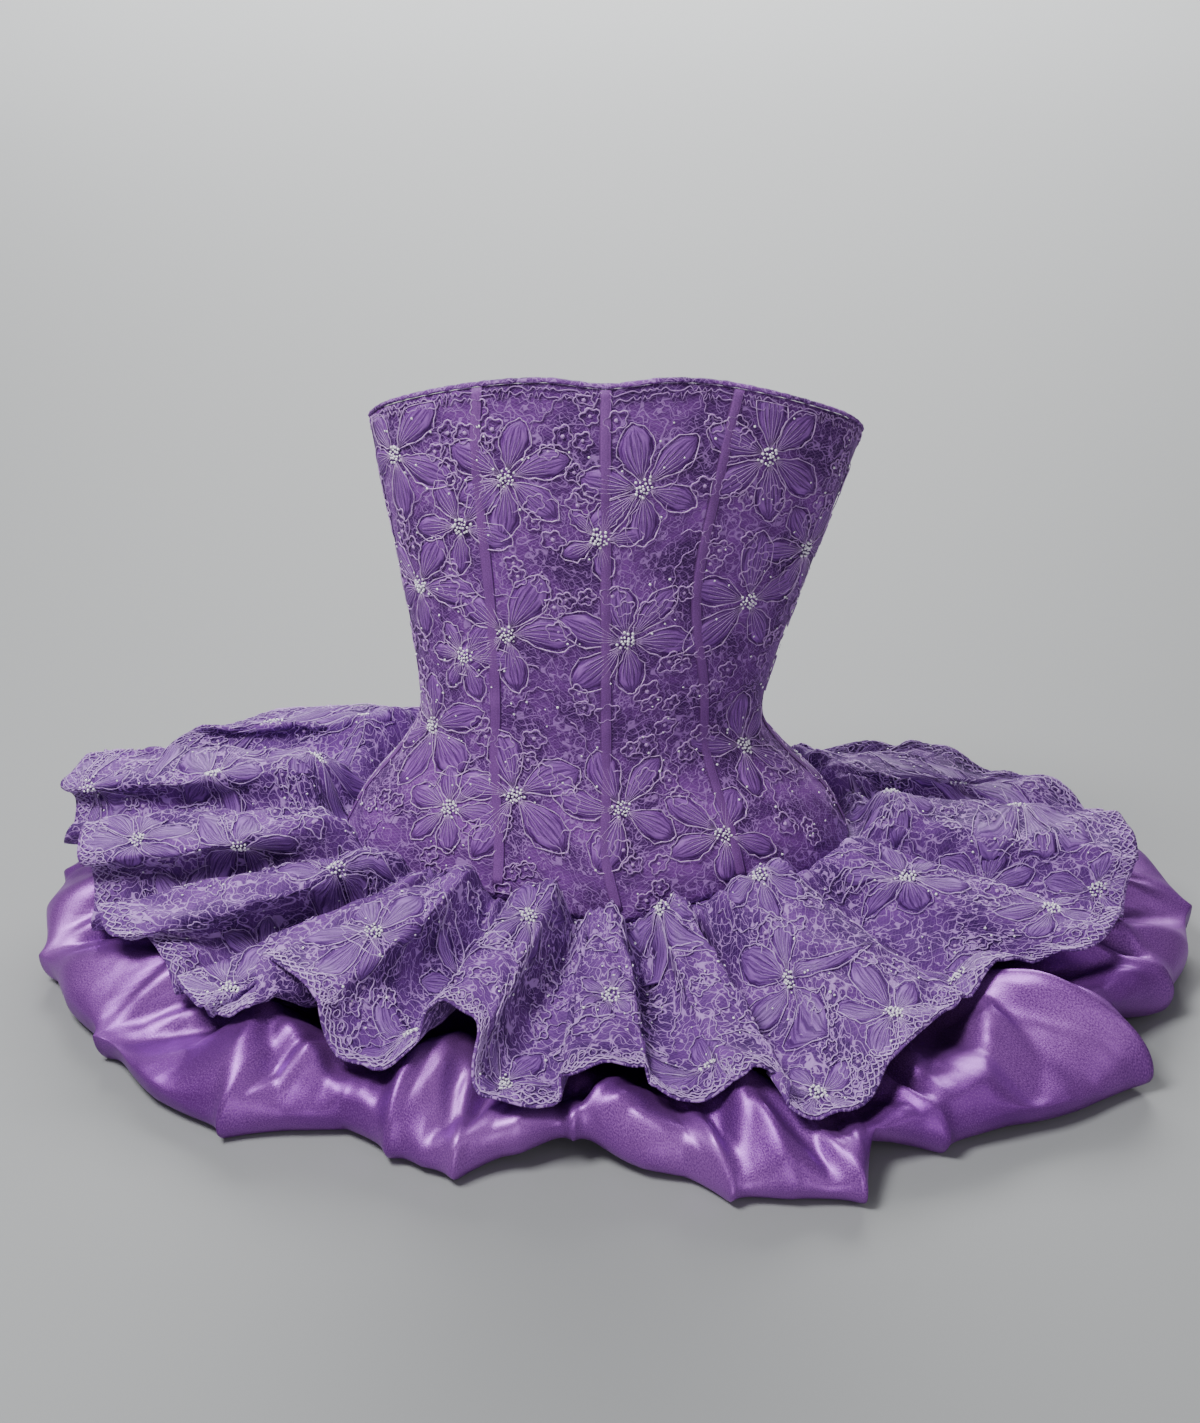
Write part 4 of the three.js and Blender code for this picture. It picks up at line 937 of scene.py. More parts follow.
def panel_place(start, end):
    """The surface between two seams, half a gap inside each. The puckers fade out
    towards its four edges."""

    def place(u, v):
        gap = SEAM_GAP / 2 / MM_A_DEGREE
        bearing = lerp(seam_bearing(start, v) + gap, seam_bearing(end, v) - gap, u)
        sides = np.minimum(ease(u * SIDE_FADE), ease((1 - u) * SIDE_FADE))
        flat = sides * ease(v * END_FADE) * ease((1 - v) * END_FADE)
        raised = (pucker(bearing, v) * flat)[..., None]
        return bodice_place(bearing, v) + bodice_normal(bearing, v) * raised

    return place


panels = []
for name, start, end, steps in PANELS:
    cloth = Cloth(panel_place(start, end), np.linspace(0, 1, steps + 1), np.linspace(0, 1, PANEL_ROWS + 1))
    panel = wall_piece(f"panel_{name}", cloth, BODICE_WALL, material=bodice_net, slot="lace_over_cloth")
    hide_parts(f"bodice_{name}")
    panels.append((cloth, panel))

# %% Casings
CASING_WIDTH, CASING_RISE, CASING_FOOT = 8.0, 1.1, 0.025
STRIP_CLEAR, STRIP_FALL = 0.3, 0.75
CASINGS = ["side_back_left", "side_left", "princess_left", "centre_front", "princess_right",
           "side_right", "side_back_right"]


def strip_over(seam, width, rise, foot, head, steps=80, sides=7):
    """A strip along a seam: its section is flat below and rounded above, the rounded
    part being rise (1 - 0.75 (2s)^4) over a share s of its width."""
    share = np.linspace(foot, head, steps)[:, None]
    s = np.linspace(-0.5, 0.5, sides)
    top = rise * (1 - np.abs(2 * s) ** 4 * STRIP_FALL)
    side = np.concatenate([s, s[::-1]])
    lift = np.concatenate([top, np.full(sides, STRIP_CLEAR)])
    middle = seam_bearing(seam, share)
    degree = bodice_place(middle + 0.5, share) - bodice_place(middle - 0.5, share)
    bearing = middle + side * width / np.linalg.norm(degree, axis=-1)
    place = bodice_place(bearing, share + 0 * bearing)
    return place + bodice_normal(bearing, share + 0 * bearing) * (lift + SEAM_GAP)[:, None]


def bar_piece(name, rings, **finish):
    """A solid bar from its rings of points: quads between rings, and a cap at each end.
    The UV map runs along it and round it, in metres."""
    count, sides = rings.shape[:2]
    i, j = np.meshgrid(np.arange(count - 1), np.arange(sides), indexing="ij")
    i, j = i.ravel(), j.ravel()
    column, row = np.stack([i, i + 1, i + 1, i], -1), np.stack([j, j, j + 1, j + 1], -1)
    near_cap = np.arange(sides)[None]
    far_cap = near_cap[:, ::-1] + (count - 1) * sides
    step = np.linalg.norm(np.diff(rings.mean(1), axis=0), axis=-1)
    side = np.linalg.norm(np.roll(rings[0], -1, axis=0) - rings[0], axis=-1)
    along, girth = (np.concatenate([[0.0], np.cumsum(x)]) for x in (step, side))
    uv = np.stack([along[column], girth[row]], -1).reshape(-1, 2)
    caps = np.stack([np.zeros(2 * sides), np.tile(girth[:-1], 2)], -1)
    faces = [column * sides + row % sides, near_cap, far_cap]
    return new_piece(name, rings, faces, uv=np.concatenate([uv, caps]) * MM, **finish)


for seam in CASINGS:
    rings = strip_over(seam, CASING_WIDTH, CASING_RISE, CASING_FOOT, 1.0)
    casing = bar_piece(f"casing_{seam}", rings[:, ::-1], material=casing_skin, slot="casing_satin")
    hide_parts(f"bone_casing_{seam}")

# %% The neckline's binding
BINDING_RADIAL, BINDING_UPRIGHT, BINDING_CLEAR = 3.2, 2.1, 0.1
BINDING_END, BINDING_STEPS, BINDING_SIDES = 178.8, 480, 12
bearing = np.linspace(-BINDING_END, BINDING_END, BINDING_STEPS)[:, None]
top = np.ones_like(bearing)
normal = unit(bodice_normal(bearing, top) * np.array([1, 1, 0]))
middle = bodice_place(bearing, top) - normal * BODICE_WALL / 2
middle = middle + np.array([0, 0, BINDING_CLEAR + BINDING_UPRIGHT])
uneven = 0.86 + 0.08 * np.sin(np.radians(bearing) * 67) + 0.06 * np.sin(np.radians(bearing) * 113 + 1)
angle = np.linspace(0, 2 * np.pi, BINDING_SIDES + 1)[:-1]
rings = middle + normal * (BINDING_RADIAL * np.cos(angle) * uneven)[..., None]
rings = rings + np.array([0, 0, 1]) * (BINDING_UPRIGHT * np.sin(angle) * uneven)[..., None]
binding = bar_piece("neckline_cord", rings, material=bodice_net, slot="binding")
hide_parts("neckline_binding")

# %% Skirts
lace_skirt = wall_piece("lace_skirt", lace_cloth, LACE_WALL, outward=-1.0,
                        material=skirt_net, slot="skirt_lace")
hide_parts("lace_overskirt")
satin_skirt = wall_piece("satin_skirt", satin_cloth, SATIN_WALL, outward=-1.0,
                         material=satin_skin, slot="satin")
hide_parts("satin_bubble_skirt")

# %% [markdown]
# ## The lace's flowers
# Corded lace is net with petals of finer net sewn on it, outlined with cord. Each
# flower is drawn flat, in millimetres round its centre, and then laid on the cloth's
# grid: its width and height are divided by how wide and high the cloth is there. So a
# flower bends over each roll as the real one does. Petals are thin closed lenses, the
# outlines are tubes, and the beads in the middle are small faceted balls.

# %% Laying flat drawings on cloth
EDGE_MARGIN = 0.012
UP_PROBE, LAST_V = 0.02, 0.999


def on_cloth(cloth, u0, v0, across, up, lift):
    """Places above the cloth at (across, up) millimetres from the centre (u0, v0)."""
    u0, v0 = np.broadcast_arrays(u0, v0)
    probe = np.minimum(v0 + UP_PROBE, LAST_V)
    above, _ = cloth.at(u0, probe)
    below, _ = cloth.at(u0, probe - UP_PROBE)
    high = np.linalg.norm(above - below, axis=-1) / UP_PROBE
    v = np.clip(v0 + up / high, EDGE_MARGIN, 1 - EDGE_MARGIN)
    u = u0 + across / cloth.width_rate(u0 + 0 * v, v)
    place, normal = cloth.at(u, v)
    return place + normal * np.asarray(lift)[..., None], normal


def tube_points(place, normal, radius, closed, sides):
    """Rings round K paths of M places: place + r (normal sin a + beside cos a)."""
    ahead = np.roll(place, -1, 1) - np.roll(place, 1, 1) if closed else np.gradient(place, axis=1)
    ahead = unit(ahead)
    beside = unit(np.cross(normal, ahead))
    upward = np.cross(ahead, beside)
    angle = (np.arange(sides) + 0.5) / sides * 2 * np.pi
    turn = upward[:, :, None] * np.sin(angle)[:, None] + beside[:, :, None] * np.cos(angle)[:, None]
    radius = np.broadcast_to(radius, place.shape[:2])
    return place[:, :, None] + turn * radius[:, :, None, None]


def tube_faces(paths, steps, closed, sides):
    """Quads from each ring of a path to its next. An open path also gets a cap at each
    end, and a closed one a last band back to its first ring."""
    stretches = steps if closed else steps - 1
    k, i, j = np.meshgrid(np.arange(paths), np.arange(stretches), np.arange(sides), indexing="ij")
    k, i, j = k.ravel(), i.ravel(), j.ravel()
    first, here, there = k * steps * sides, i * sides, ((i + 1) % steps) * sides
    beside = (j + 1) % sides
    faces = np.stack([here + j, here + beside, there + beside, there + j], -1) + first[:, None]
    if closed:
        return [faces]
    starts = (np.arange(paths) * steps * sides)[:, None]
    ring = np.arange(sides)[None]
    return [faces, starts + ring[:, ::-1], starts + (steps - 1) * sides + ring]


class Trim:
    """Collects many small solids of one finish, to be written as one mesh."""

    def __init__(self):
        self.points, self.faces, self.uv, self.count = [], [], [], 0

    def add(self, points, faces, uv=None):
        points = points.reshape(-1, 3)
        self.points.append(points)
        self.faces += [f + self.count for f in faces]
        self.count += len(points)
        if uv is not None:
            self.uv.append(uv)

    def cords(self, place, normal, radius, closed=True, sides=4):
        points = tube_points(place, normal, radius, closed, sides)
        self.add(points, tube_faces(len(place), place.shape[1], closed, sides))

    def beads(self, place, normal, radius, flat=1.0, tilt=0.0):
        """Balls of 14 points: two poles and two rings of six. flat squashes them
        along the normal, which tilt turns a little, as on a loose sequin."""
        count = len(place)
        normal = unit(normal + rng.normal(0, 1, normal.shape) * tilt)
        beside = unit(np.cross(normal, rng.normal(0, 1, normal.shape)))
        ahead = np.cross(normal, beside)
        rise = np.radians([-28.0, 28.0])
        turn = np.arange(6) / 6 * 2 * np.pi
        x = np.concatenate([[0.0], np.outer(np.cos(rise), np.cos(turn)).ravel(), [0.0]])
        y = np.concatenate([[0.0], np.outer(np.cos(rise), np.sin(turn)).ravel(), [0.0]])
        z = np.concatenate([[-1.0], np.repeat(np.sin(rise), 6), [1.0]]) * flat
        radius = np.broadcast_to(radius, (count,))[:, None, None]
        ball = beside[:, None] * x[:, None] + ahead[:, None] * y[:, None] + normal[:, None] * z[:, None]
        j = np.arange(6)
        k = (j + 1) % 6
        band = np.stack([1 + j, 1 + k, 7 + k, 7 + j], -1)
        below, above = np.stack([0 * j, 1 + k, 1 + j], -1), np.stack([13 + 0 * j, 7 + j, 7 + k], -1)
        caps = np.concatenate([below, above])
        first = (np.arange(count) * 14)[:, None, None]
        faces = [(first + band).reshape(-1, 4), (first + caps).reshape(-1, 3)]
        self.add(place[:, None] + ball * radius, faces)

    def piece(self, name, **finish):
        uv = np.concatenate(self.uv) if self.uv else None
        return new_piece(name, np.concatenate(self.points), self.faces, uv=uv, **finish)


# %% Drawing petals
PETAL_STEPS, PETAL_COLUMNS = 7, 5
OUTLINE_STEPS = 26
PETAL_START, PETAL_POINT = 5.0, 1.35
PETAL_LIFT, CORD_LIFT, OUTLINE_GAP = 0.4, 0.9, 1.3
PETAL_RISE, PETAL_DEPTH = 0.9, 0.2
VEINS, VEIN_FAN, VEIN_LIFT = 5, 0.62, 1.35
VEIN_TAPER = np.array([1.0, 1.0, 1.0, 0.8, 0.3])


def turned_about(along, across, angle):
    """x = along cos a - across sin a, y = along sin a + across cos a."""
    return along * np.cos(angle) - across * np.sin(angle), along * np.sin(angle) + across * np.cos(angle)


def flower_table(places, petals_between=(5, 7), length_between=(36.0, 46.0)):
    """One row for each petal: its flower's u and v, its angle, length and width."""
    rows = []
    for u, v, size in places:
        petals = int(rng.integers(*petals_between))
        start = rng.uniform(0, 2 * np.pi)
        for k in range(petals):
            angle = start + (k + rng.uniform(-0.13, 0.13)) * 2 * np.pi / petals
            length = rng.uniform(*length_between) * size
            rows.append((u, v, angle, length, length * rng.uniform(0.23, 0.28)))
    return np.array(rows).T[:, :, None]


def petal_width(s, width):
    """Half a petal's width, a teardrop that is widest past its middle: w sin(pi s^p)."""
    return width * np.sin(np.pi * np.clip(s, 0, 1) ** PETAL_POINT) ** 0.8


def petal_faces():
    """The quads of one petal: its top, its underside, and the wall round its rim."""
    i, j = np.meshgrid(np.arange(PETAL_STEPS - 1), np.arange(PETAL_COLUMNS - 1), indexing="ij")
    i, j = i.ravel(), j.ravel()
    n, wide = PETAL_STEPS * PETAL_COLUMNS, PETAL_COLUMNS
    top = np.stack([i * wide + j, (i + 1) * wide + j, (i + 1) * wide + j + 1, i * wide + j + 1], -1)
    rim = np.concatenate([np.arange(wide), wide * np.arange(1, PETAL_STEPS) + wide - 1,
                          n - 2 - np.arange(wide - 1), wide * np.arange(PETAL_STEPS - 2, 0, -1)])
    rim_next = np.roll(rim, -1)
    wall = np.stack([rim, rim_next, rim_next + n, rim + n], -1)
    return np.concatenate([top, top[:, ::-1] + n, wall])


def add_petals(cloth, rows, fills):
    """Petals as thin closed lenses, whose top rises as sqrt(1 - q^2) across them, with
    q from -1 to 1. The UV map runs across and along each petal, for its streaks."""
    u0, v0, angle, length, width = rows
    count = len(u0)
    s = np.linspace(0.02, 0.98, PETAL_STEPS)[:, None]
    q = np.linspace(-1, 1, PETAL_COLUMNS)
    flat_s, flat_q = (s + 0 * q).ravel()[None], (0 * s + q).ravel()[None]
    along = PETAL_START + length * flat_s
    across = petal_width(flat_s, width) * flat_q
    x, y = turned_about(along, across, angle)
    ridge = PETAL_LIFT + PETAL_RISE * np.sqrt(np.maximum(1 - flat_q**2, 0)) * np.sin(np.pi * flat_s) ** 0.5
    upper, normal = on_cloth(cloth, u0, v0, x, y, ridge + 0 * x)
    lower = upper - normal * (ridge + PETAL_DEPTH)[..., None]
    faces = petal_faces()
    first = (np.arange(count) * upper.shape[1] * 2)[:, None, None]
    streak = np.stack([flat_q[0] * 0.5 + 0.5, flat_s[0]], -1)
    streak = np.concatenate([streak, streak])
    uv = np.broadcast_to(streak[faces.ravel()], (count, faces.size, 2)).reshape(-1, 2)
    points = np.concatenate([upper, lower], axis=1)
    fills.add(points, [(first + faces).reshape(-1, 4)], uv=uv)


def add_outlines(cloth, rows, outlines, cord_radius):
    """A cord round each petal: out on one side and back on the other, its reach going
    as (1 - cos t) / 2. Two sines make it a little wavy, and one makes it knotty."""
    u0, v0, angle, length, width = rows
    t = np.linspace(0, 2 * np.pi, OUTLINE_STEPS, endpoint=False)[None]
    s = (1 - np.cos(t)) / 2
    wave = 0.8 * np.sin(9 * t + angle * 9) + 0.5 * np.sin(14 * t + angle * 5)
    along = PETAL_START + (length + OUTLINE_GAP) * s + 0.4 * wave * s
    side = np.where(t < np.pi, 1.0, -1.0)
    across = side * (petal_width(s, width) + (OUTLINE_GAP + wave) * np.abs(np.sin(t)))
    x, y = turned_about(along, across, angle)
    place, normal = on_cloth(cloth, u0, v0, x, y, CORD_LIFT + 0 * x)
    knots = 1 + 0.4 * np.sin(2.3 * np.arange(OUTLINE_STEPS) + 9 * angle)
    outlines.cords(place, normal, cord_radius * knots, sides=3)


def add_veins(cloth, rows, veins, radius):
    """Five thin threads from each petal's foot, fanned to two thirds of its length."""
    u0, v0, angle, length, width = (np.repeat(x, VEINS, axis=0) for x in rows)
    fan = np.tile(np.linspace(-VEIN_FAN, VEIN_FAN, VEINS), len(rows[0]))[:, None]
    s = np.linspace(0.04, 0.72, len(VEIN_TAPER))[None] * (1 - 0.25 * np.abs(fan))
    across = petal_width(s, width) * fan
    x, y = turned_about(PETAL_START + length * s, across, angle)
    place, normal = on_cloth(cloth, u0, v0, x, y, VEIN_LIFT + 0 * x)
    veins.cords(place, normal, radius * VEIN_TAPER, closed=False, sides=3)


def add_centres(cloth, places, beads, count=20, spread=7.0):
    """A heap of small beads: reach = r sqrt(k / n), turned by the golden angle."""
    places = np.array(places)
    k = np.arange(count)
    reach = spread * np.sqrt((k + 0.2) / count) * rng.uniform(0.8, 1.2, (len(places), count))
    angle = k * 2.4 + rng.uniform(0, 6, (len(places), 1))
    x, y = reach * np.cos(angle), reach * np.sin(angle)
    lift = 1.0 + 1.4 * (1 - reach / spread)
    place, normal = on_cloth(cloth, places[:, :1], places[:, 1:2], x, y, lift)
    radius = rng.uniform(0.85, 1.35, place.shape[:2]).ravel()
    beads.beads(place.reshape(-1, 3), normal.reshape(-1, 3), radius)


# %% Drawing florets and vines
FLORET_STEPS = 25


def add_florets(cloth, places, florets, knots, radius, count=3, spread=13.5):
    """Small corded flowers, a few round each place, with a knot in the middle. Each is
    one closed cord round five lobes: its reach is a (0.45 + 0.55 |cos 2.5t|^0.6)."""
    places = np.array(places)
    k = np.arange(count)
    reach = spread * np.where(k < 1, 0.3, 1.0) * rng.uniform(0.85, 1.15, (len(places), count))
    angle = k * 2.6 + rng.uniform(0, 6, (len(places), 1))
    x0, y0 = reach * np.cos(angle), reach * np.sin(angle)
    size = rng.uniform(6.6, 9.4, (len(places), count))[..., None]
    t = np.linspace(0, 2 * np.pi, FLORET_STEPS, endpoint=False)
    turn = rng.uniform(0, 2 * np.pi, (len(places), count))[..., None]
    bloom = size * (0.45 + 0.55 * np.abs(np.cos(2.5 * t)) ** 0.6) * (1 + 0.12 * np.sin(2 * t + turn))
    x = (x0[..., None] + bloom * np.cos(t + turn)).reshape(-1, FLORET_STEPS)
    y = (y0[..., None] + bloom * np.sin(t + turn)).reshape(-1, FLORET_STEPS)
    u0, v0 = (np.repeat(places[:, n], count)[:, None] for n in (0, 1))
    place, normal = on_cloth(cloth, u0, v0, x, y, 1.0 + 0 * x)
    florets.cords(place, normal, radius, sides=3)
    x, y = x0.reshape(-1, 1), y0.reshape(-1, 1)
    place, normal = on_cloth(cloth, u0, v0, x, y, 0.1 + 0 * x)
    knots.beads(place[:, 0], normal[:, 0], 0.22 * size.ravel(), flat=0.7)


def add_vines(cloth, places, vines, radius, length=46.0):
    """A wavy stem through each place: y = 4 sin(2 pi s + t) + 1.2 sin(9 pi s + 2t) at a
    share s along it, where t is also the way it points."""
    places = np.array(places)
    s = np.linspace(-0.5, 0.5, 26)[None]
    turn = rng.uniform(0, 2 * np.pi, (len(places), 1))
    along = s * length * rng.uniform(0.7, 1.3, (len(places), 1))
    across = 4.0 * np.sin(2 * np.pi * s + turn) + 1.2 * np.sin(9 * np.pi * s + 2 * turn)
    x, y = turned_about(along, across, turn)
    place, normal = on_cloth(cloth, places[:, :1], places[:, 1:2], x, y, 0.8 + 0 * x)
    vines.cords(place, normal, radius, closed=False, sides=3)


# %% Scattered places


def scattered(cloth, count, apart, kept=(), low=0.04, high=0.96, tries=6000):
    """Random places on a cloth, each at least apart millimetres from the others and
    from the ones that are kept."""
    u, v = rng.uniform(0, 1, tries), rng.uniform(low, high, tries)
    u = cloth.us[0] + u
    place, _ = cloth.at(u, v)
    chosen = np.empty((0, 3))
    if kept:
        chosen = cloth.at(np.array([k[0] for k in kept]), np.array([k[1] for k in kept]))[0]
    found = []
    for candidate in range(tries):
        if len(found) >= count:
            break
        away = np.linalg.norm(chosen - place[candidate], axis=-1)
        if not len(away) or away.min() > apart:
            chosen = np.concatenate([chosen, place[candidate : candidate + 1]])
            found.append((u[candidate], v[candidate]))
    return found


# %% Lace finishes


def thread_material(name, dark, light):
    """Twisted cord: a fine noise from dark to light, which also raises the bump."""
    shader = Shader(name)
    place = shader.object_place()
    twist = shader.noise(place, (900.0,) * 3, 1.0, flat=False)
    bump = shader.add("ShaderNodeBump", {}, 0.3, 0.0004, Height=twist)
    base = shader.mix(twist.clamped(), dark, light)
    return shader.finish(Base_Color=base, Roughness=0.55, Normal=bump, Specular_IOR_Level=0.3)


def petal_material(name, body, streak):
    """Fine net in folds: streaks run from the foot of the petal to its tip."""
    shader = Shader(name)
    uv = shader.uv()
    pleats = shader.noise(uv, (15.0, 2.2, 1.0), 3.0)
    place = shader.object_place()
    fine = shader.noise(place, (1300.0,) * 3, 1.0, flat=False)
    base = shader.mix(((pleats - 0.36) * 3.0 + (fine - 0.5) * 0.7).clamped(), body, streak)
    bump = shader.add("ShaderNodeBump", {}, 0.5, 0.0008, Height=pleats + fine * 0.3)
    return shader.finish(Base_Color=base, Roughness=0.55, Normal=bump, Specular_IOR_Level=0.3)


bodice_cord = thread_material("bodice_cord", colour(0.34, 0.15, 0.48), colour(0.84, 0.60, 0.95))
skirt_cord = thread_material("skirt_cord", colour(0.30, 0.14, 0.46), colour(0.70, 0.48, 0.86))
dark_cord = thread_material("dark_cord", colour(0.22, 0.08, 0.34), colour(0.68, 0.42, 0.82))
bodice_petal = petal_material("bodice_petal", colour(0.090, 0.018, 0.16), colour(0.31, 0.115, 0.47))
skirt_petal = petal_material("skirt_petal", colour(0.085, 0.020, 0.16), colour(0.29, 0.12, 0.46))
# Painted shade: a near-black cord material that stands in for the shadow where a casing's edge sinks into
# the lace.
painted_seam_shade = thread_material("painted_seam_shade", colour(0.045, 0.01, 0.08), colour(0.12, 0.03, 0.20))
bead_skin = Shader("beads").finish(Base_Color=colour(0.93, 0.88, 0.98), Roughness=0.2, Metallic=0.1,
                                   Specular_IOR_Level=0.8)

# %% [markdown]
# ## Where the flowers go
# The flowers that the photograph shows are listed by bearing and share on the bodice
# and by roll and share on the skirt. The rest of the lace isn't seen, so its flowers are
# scattered at the same spacing, with a fixed seed.

# %% The bodice's flowers
SHOWN_ON_BODICE = [
    (-63, 0.90, 1.0), (-40, 0.74, 0.85), (-26, 0.83, 1.0), (6, 0.82, 1.0), (36, 0.89, 1.1),
    (-3, 0.73, 0.6), (-28, 0.52, 1.15), (-44, 0.47, 0.7), (7, 0.53, 1.1), (43, 0.60, 1.1),
    (60, 0.27, 1.0), (-42, 0.15, 0.8), (-23, 0.19, 1.15), (8, 0.20, 1.05), (33, 0.11, 0.95),
    (-62, 0.62, 1.0), (-66, 0.30, 1.0), (64, 0.72, 0.9),
]
SHOWN_HALF, SEQUINS, SEQUIN_LIFT = 0.19, 420, 1.2
bodice_places = [((bearing + 180) / 360, share, size) for bearing, share, size in SHOWN_ON_BODICE]
beyond = scattered(bodice, 60, 76.0, bodice_places, 0.08, 0.94)
beyond = [(u, v) for u, v in beyond if abs(u - 0.5) > SHOWN_HALF]
bodice_places += [(u, v, rng.uniform(0.8, 1.1)) for u, v in beyond]
print("flowers on the bodice:", len(bodice_places))

fills, outlines, florets, beads, knots = (Trim() for _ in range(5))
petals = flower_table(bodice_places)
add_petals(bodice, petals, fills)
add_outlines(bodice, petals, outlines, 0.46)
add_veins(bodice, petals, outlines, 0.16)
add_centres(bodice, bodice_places, beads)
small = scattered(bodice, 90, 31.0, bodice_places, 0.03, 0.97)
add_florets(bodice, small, florets, knots, 0.66)
add_vines(bodice, scattered(bodice, 120, 28.0, (), 0.03, 0.97), florets, 0.42)
place, normal = bodice.at(rng.uniform(0, 1, SEQUINS), rng.uniform(0.03, 0.97, SEQUINS))
beads.beads(place + normal * SEQUIN_LIFT, normal, rng.uniform(0.7, 1.25, SEQUINS), flat=0.5, tilt=0.3)

# %% [markdown]
# ## Stitches and cords of the bodice
# Each casing is sewn down along both of its edges with short stitches. Beside one edge
# runs a thin near-black cord: painted shade where that edge sinks into the lace. Two thin
# cords wave along the neckline, faster at some places than at others, as hand-guided cord does.

# %% Stitches
STITCHES, STITCH_SIDE, STITCH_RADIUS = 80, 3.1, 0.28
SHADE_RISE, SHADE_STEPS, SHADE_RADIUS = 0.3, 60, 0.5


def strip_normal(strip):
    """The normal of a strip with three points across: its run crossed with its breadth."""
    return unit(np.cross(np.gradient(strip[:, 1], axis=0), strip[:, 2] - strip[:, 0]))


stitches, painted_shade_lines = Trim(), Trim()
for seam in CASINGS:
    strip = strip_over(seam, 2 * STITCH_SIDE, CASING_RISE, CASING_FOOT, 1.0, 3 * STITCHES + 1, 3)
    for line in (strip[:, 0], strip[:, 2]):
        normal = strip_normal(strip)
        normal = -normal * np.sign((normal * (line - line.mean(0))).sum())
        starts = np.arange(STITCHES) * 3
        threads, normals = (np.stack([x[starts], x[starts + 2]], 1) for x in (line, normal))
        stitches.cords(threads, normals, STITCH_RADIUS, closed=False, sides=3)
    # A dark cord along one edge of each casing: painted shade where that edge sinks into the lace.
    strip = strip_over(seam, CASING_WIDTH, SHADE_RISE, CASING_FOOT, 1.0, SHADE_STEPS, 3)
    painted_shade_lines.cords(strip[None, :, 2], strip_normal(strip)[None], SHADE_RADIUS, closed=False, sides=4)
painted_shade_lines.piece("casing_painted_shade_lines", material=painted_seam_shade, slot="casing_satin")
stitches.piece("casing_stitches", material=dark_cord, slot="casing_satin")

# %% Cords at the neckline
NECK_CORDS = ((0.992, 0.005, 31), (0.980, 0.009, 47))
NECK_WAVES, NECK_CORD_RADIUS, NECK_CORD_LIFT = 150, 0.55, 0.8
turn = np.linspace(0.004, 0.996, NECK_WAVES * 5)
uneven = 0.7 + 0.3 * np.sin(2 * np.pi * 19 * turn)
for share, swing, slow in NECK_CORDS:
    waves = np.sin(2 * np.pi * NECK_WAVES * turn + 4 * np.sin(2 * np.pi * slow * turn))
    place, normal = bodice.at(turn, share + swing * waves * uneven)
    path = (place + normal * NECK_CORD_LIFT)[None]
    florets.cords(path, normal[None], NECK_CORD_RADIUS, closed=False, sides=3)
for trim, name, skin in ((fills, "bodice_petals", bodice_petal), (outlines, "bodice_cords", bodice_cord),
                         (florets, "bodice_florets", dark_cord), (beads, "bodice_beads", bead_skin),
                         (knots, "bodice_floret_knots", dark_cord)):
    trim.piece(name, material=skin, slot="lace_over_cloth")

# %% [markdown]
# ## The skirt's lace
# The flowers of the skirt that the photo shows sit mostly near the crests of its rolls,
# and the others lie anywhere. The hem is finished with three wavy cords side by side,
# and above them runs a row of small corded rings.

# %% The skirt's flowers
SHOWN_ON_SKIRT = [
    (6.2, 0.45, 1.0), (8.06, 0.80, 1.1), (8.4, 0.48, 0.9), (10.2, 0.30, 0.9), (12.2, 0.88, 0.9),
    (14.1, 0.63, 1.15), (16.1, 0.38, 0.8), (16.9, 0.86, 0.8), (21.4, 0.51, 1.15), (21.9, 0.88, 1.0),
    (21.9, 0.18, 0.8), (23.8, 0.37, 0.9), (26.3, 0.63, 1.1), (25.2, 0.90, 0.9), (19.2, 0.84, 0.9),
    (4.2, 0.75, 1.0), (4.1, 0.33, 0.9), (18.05, 0.6, 0.45),
]
skirt_places = [(station / ROUND, share, size) for station, share, size in SHOWN_ON_SKIRT]
more = scattered(lace_cloth, 60, 68.0, skirt_places, 0.14, 0.9)
skirt_places += [(u, v, rng.uniform(0.75, 1.05)) for u, v in more]
print("flowers on the skirt:", len(skirt_places))

fills, outlines, florets, beads, knots = (Trim() for _ in range(5))
petals = flower_table(skirt_places)
add_petals(lace_cloth, petals, fills)
add_outlines(lace_cloth, petals, outlines, 0.48)
add_veins(lace_cloth, petals, outlines, 0.16)
add_centres(lace_cloth, skirt_places, beads)
small = scattered(lace_cloth, 100, 31.0, skirt_places, 0.12, 0.9)
add_florets(lace_cloth, small, florets, knots, 0.62)
add_vines(lace_cloth, scattered(lace_cloth, 150, 26.0, (), 0.1, 0.92), florets, 0.42)
place, normal = lace_cloth.at(rng.uniform(0, 1, SEQUINS), rng.uniform(0.1, 0.97, SEQUINS))
beads.beads(place + normal * SEQUIN_LIFT, normal, rng.uniform(0.7, 1.3, SEQUINS), flat=0.5, tilt=0.3)

# %% The corded hem
HEM_CORDS = ((0.985, 0.006, 0.0), (0.972, 0.009, 0.5), (0.955, 0.008, 0.25))
HEM_WAVES, HEM_RADIUS, HEM_LIFT = 470, 0.62, 0.8
RING_SHARE, RING_WIDE, RING_HIGH, RING_RADIUS = 0.925, 3.0, 3.6, 0.5
hem = Trim()
turn = np.linspace(0, 1, HEM_WAVES * 5, endpoint=False)
for share, swing, lead in HEM_CORDS:
    waves = np.sin(2 * np.pi * (HEM_WAVES * turn + lead))
    place, normal = lace_cloth.at(turn, share + swing * waves)
    hem.cords((place + normal * HEM_LIFT)[None], normal[None], HEM_RADIUS, sides=3)
ring_at = (np.arange(HEM_WAVES) / HEM_WAVES)[:, None]
angle = np.linspace(0, 2 * np.pi, 7, endpoint=False)[None] + 0 * ring_at
x, y = RING_WIDE * np.cos(angle), RING_HIGH * np.sin(angle)
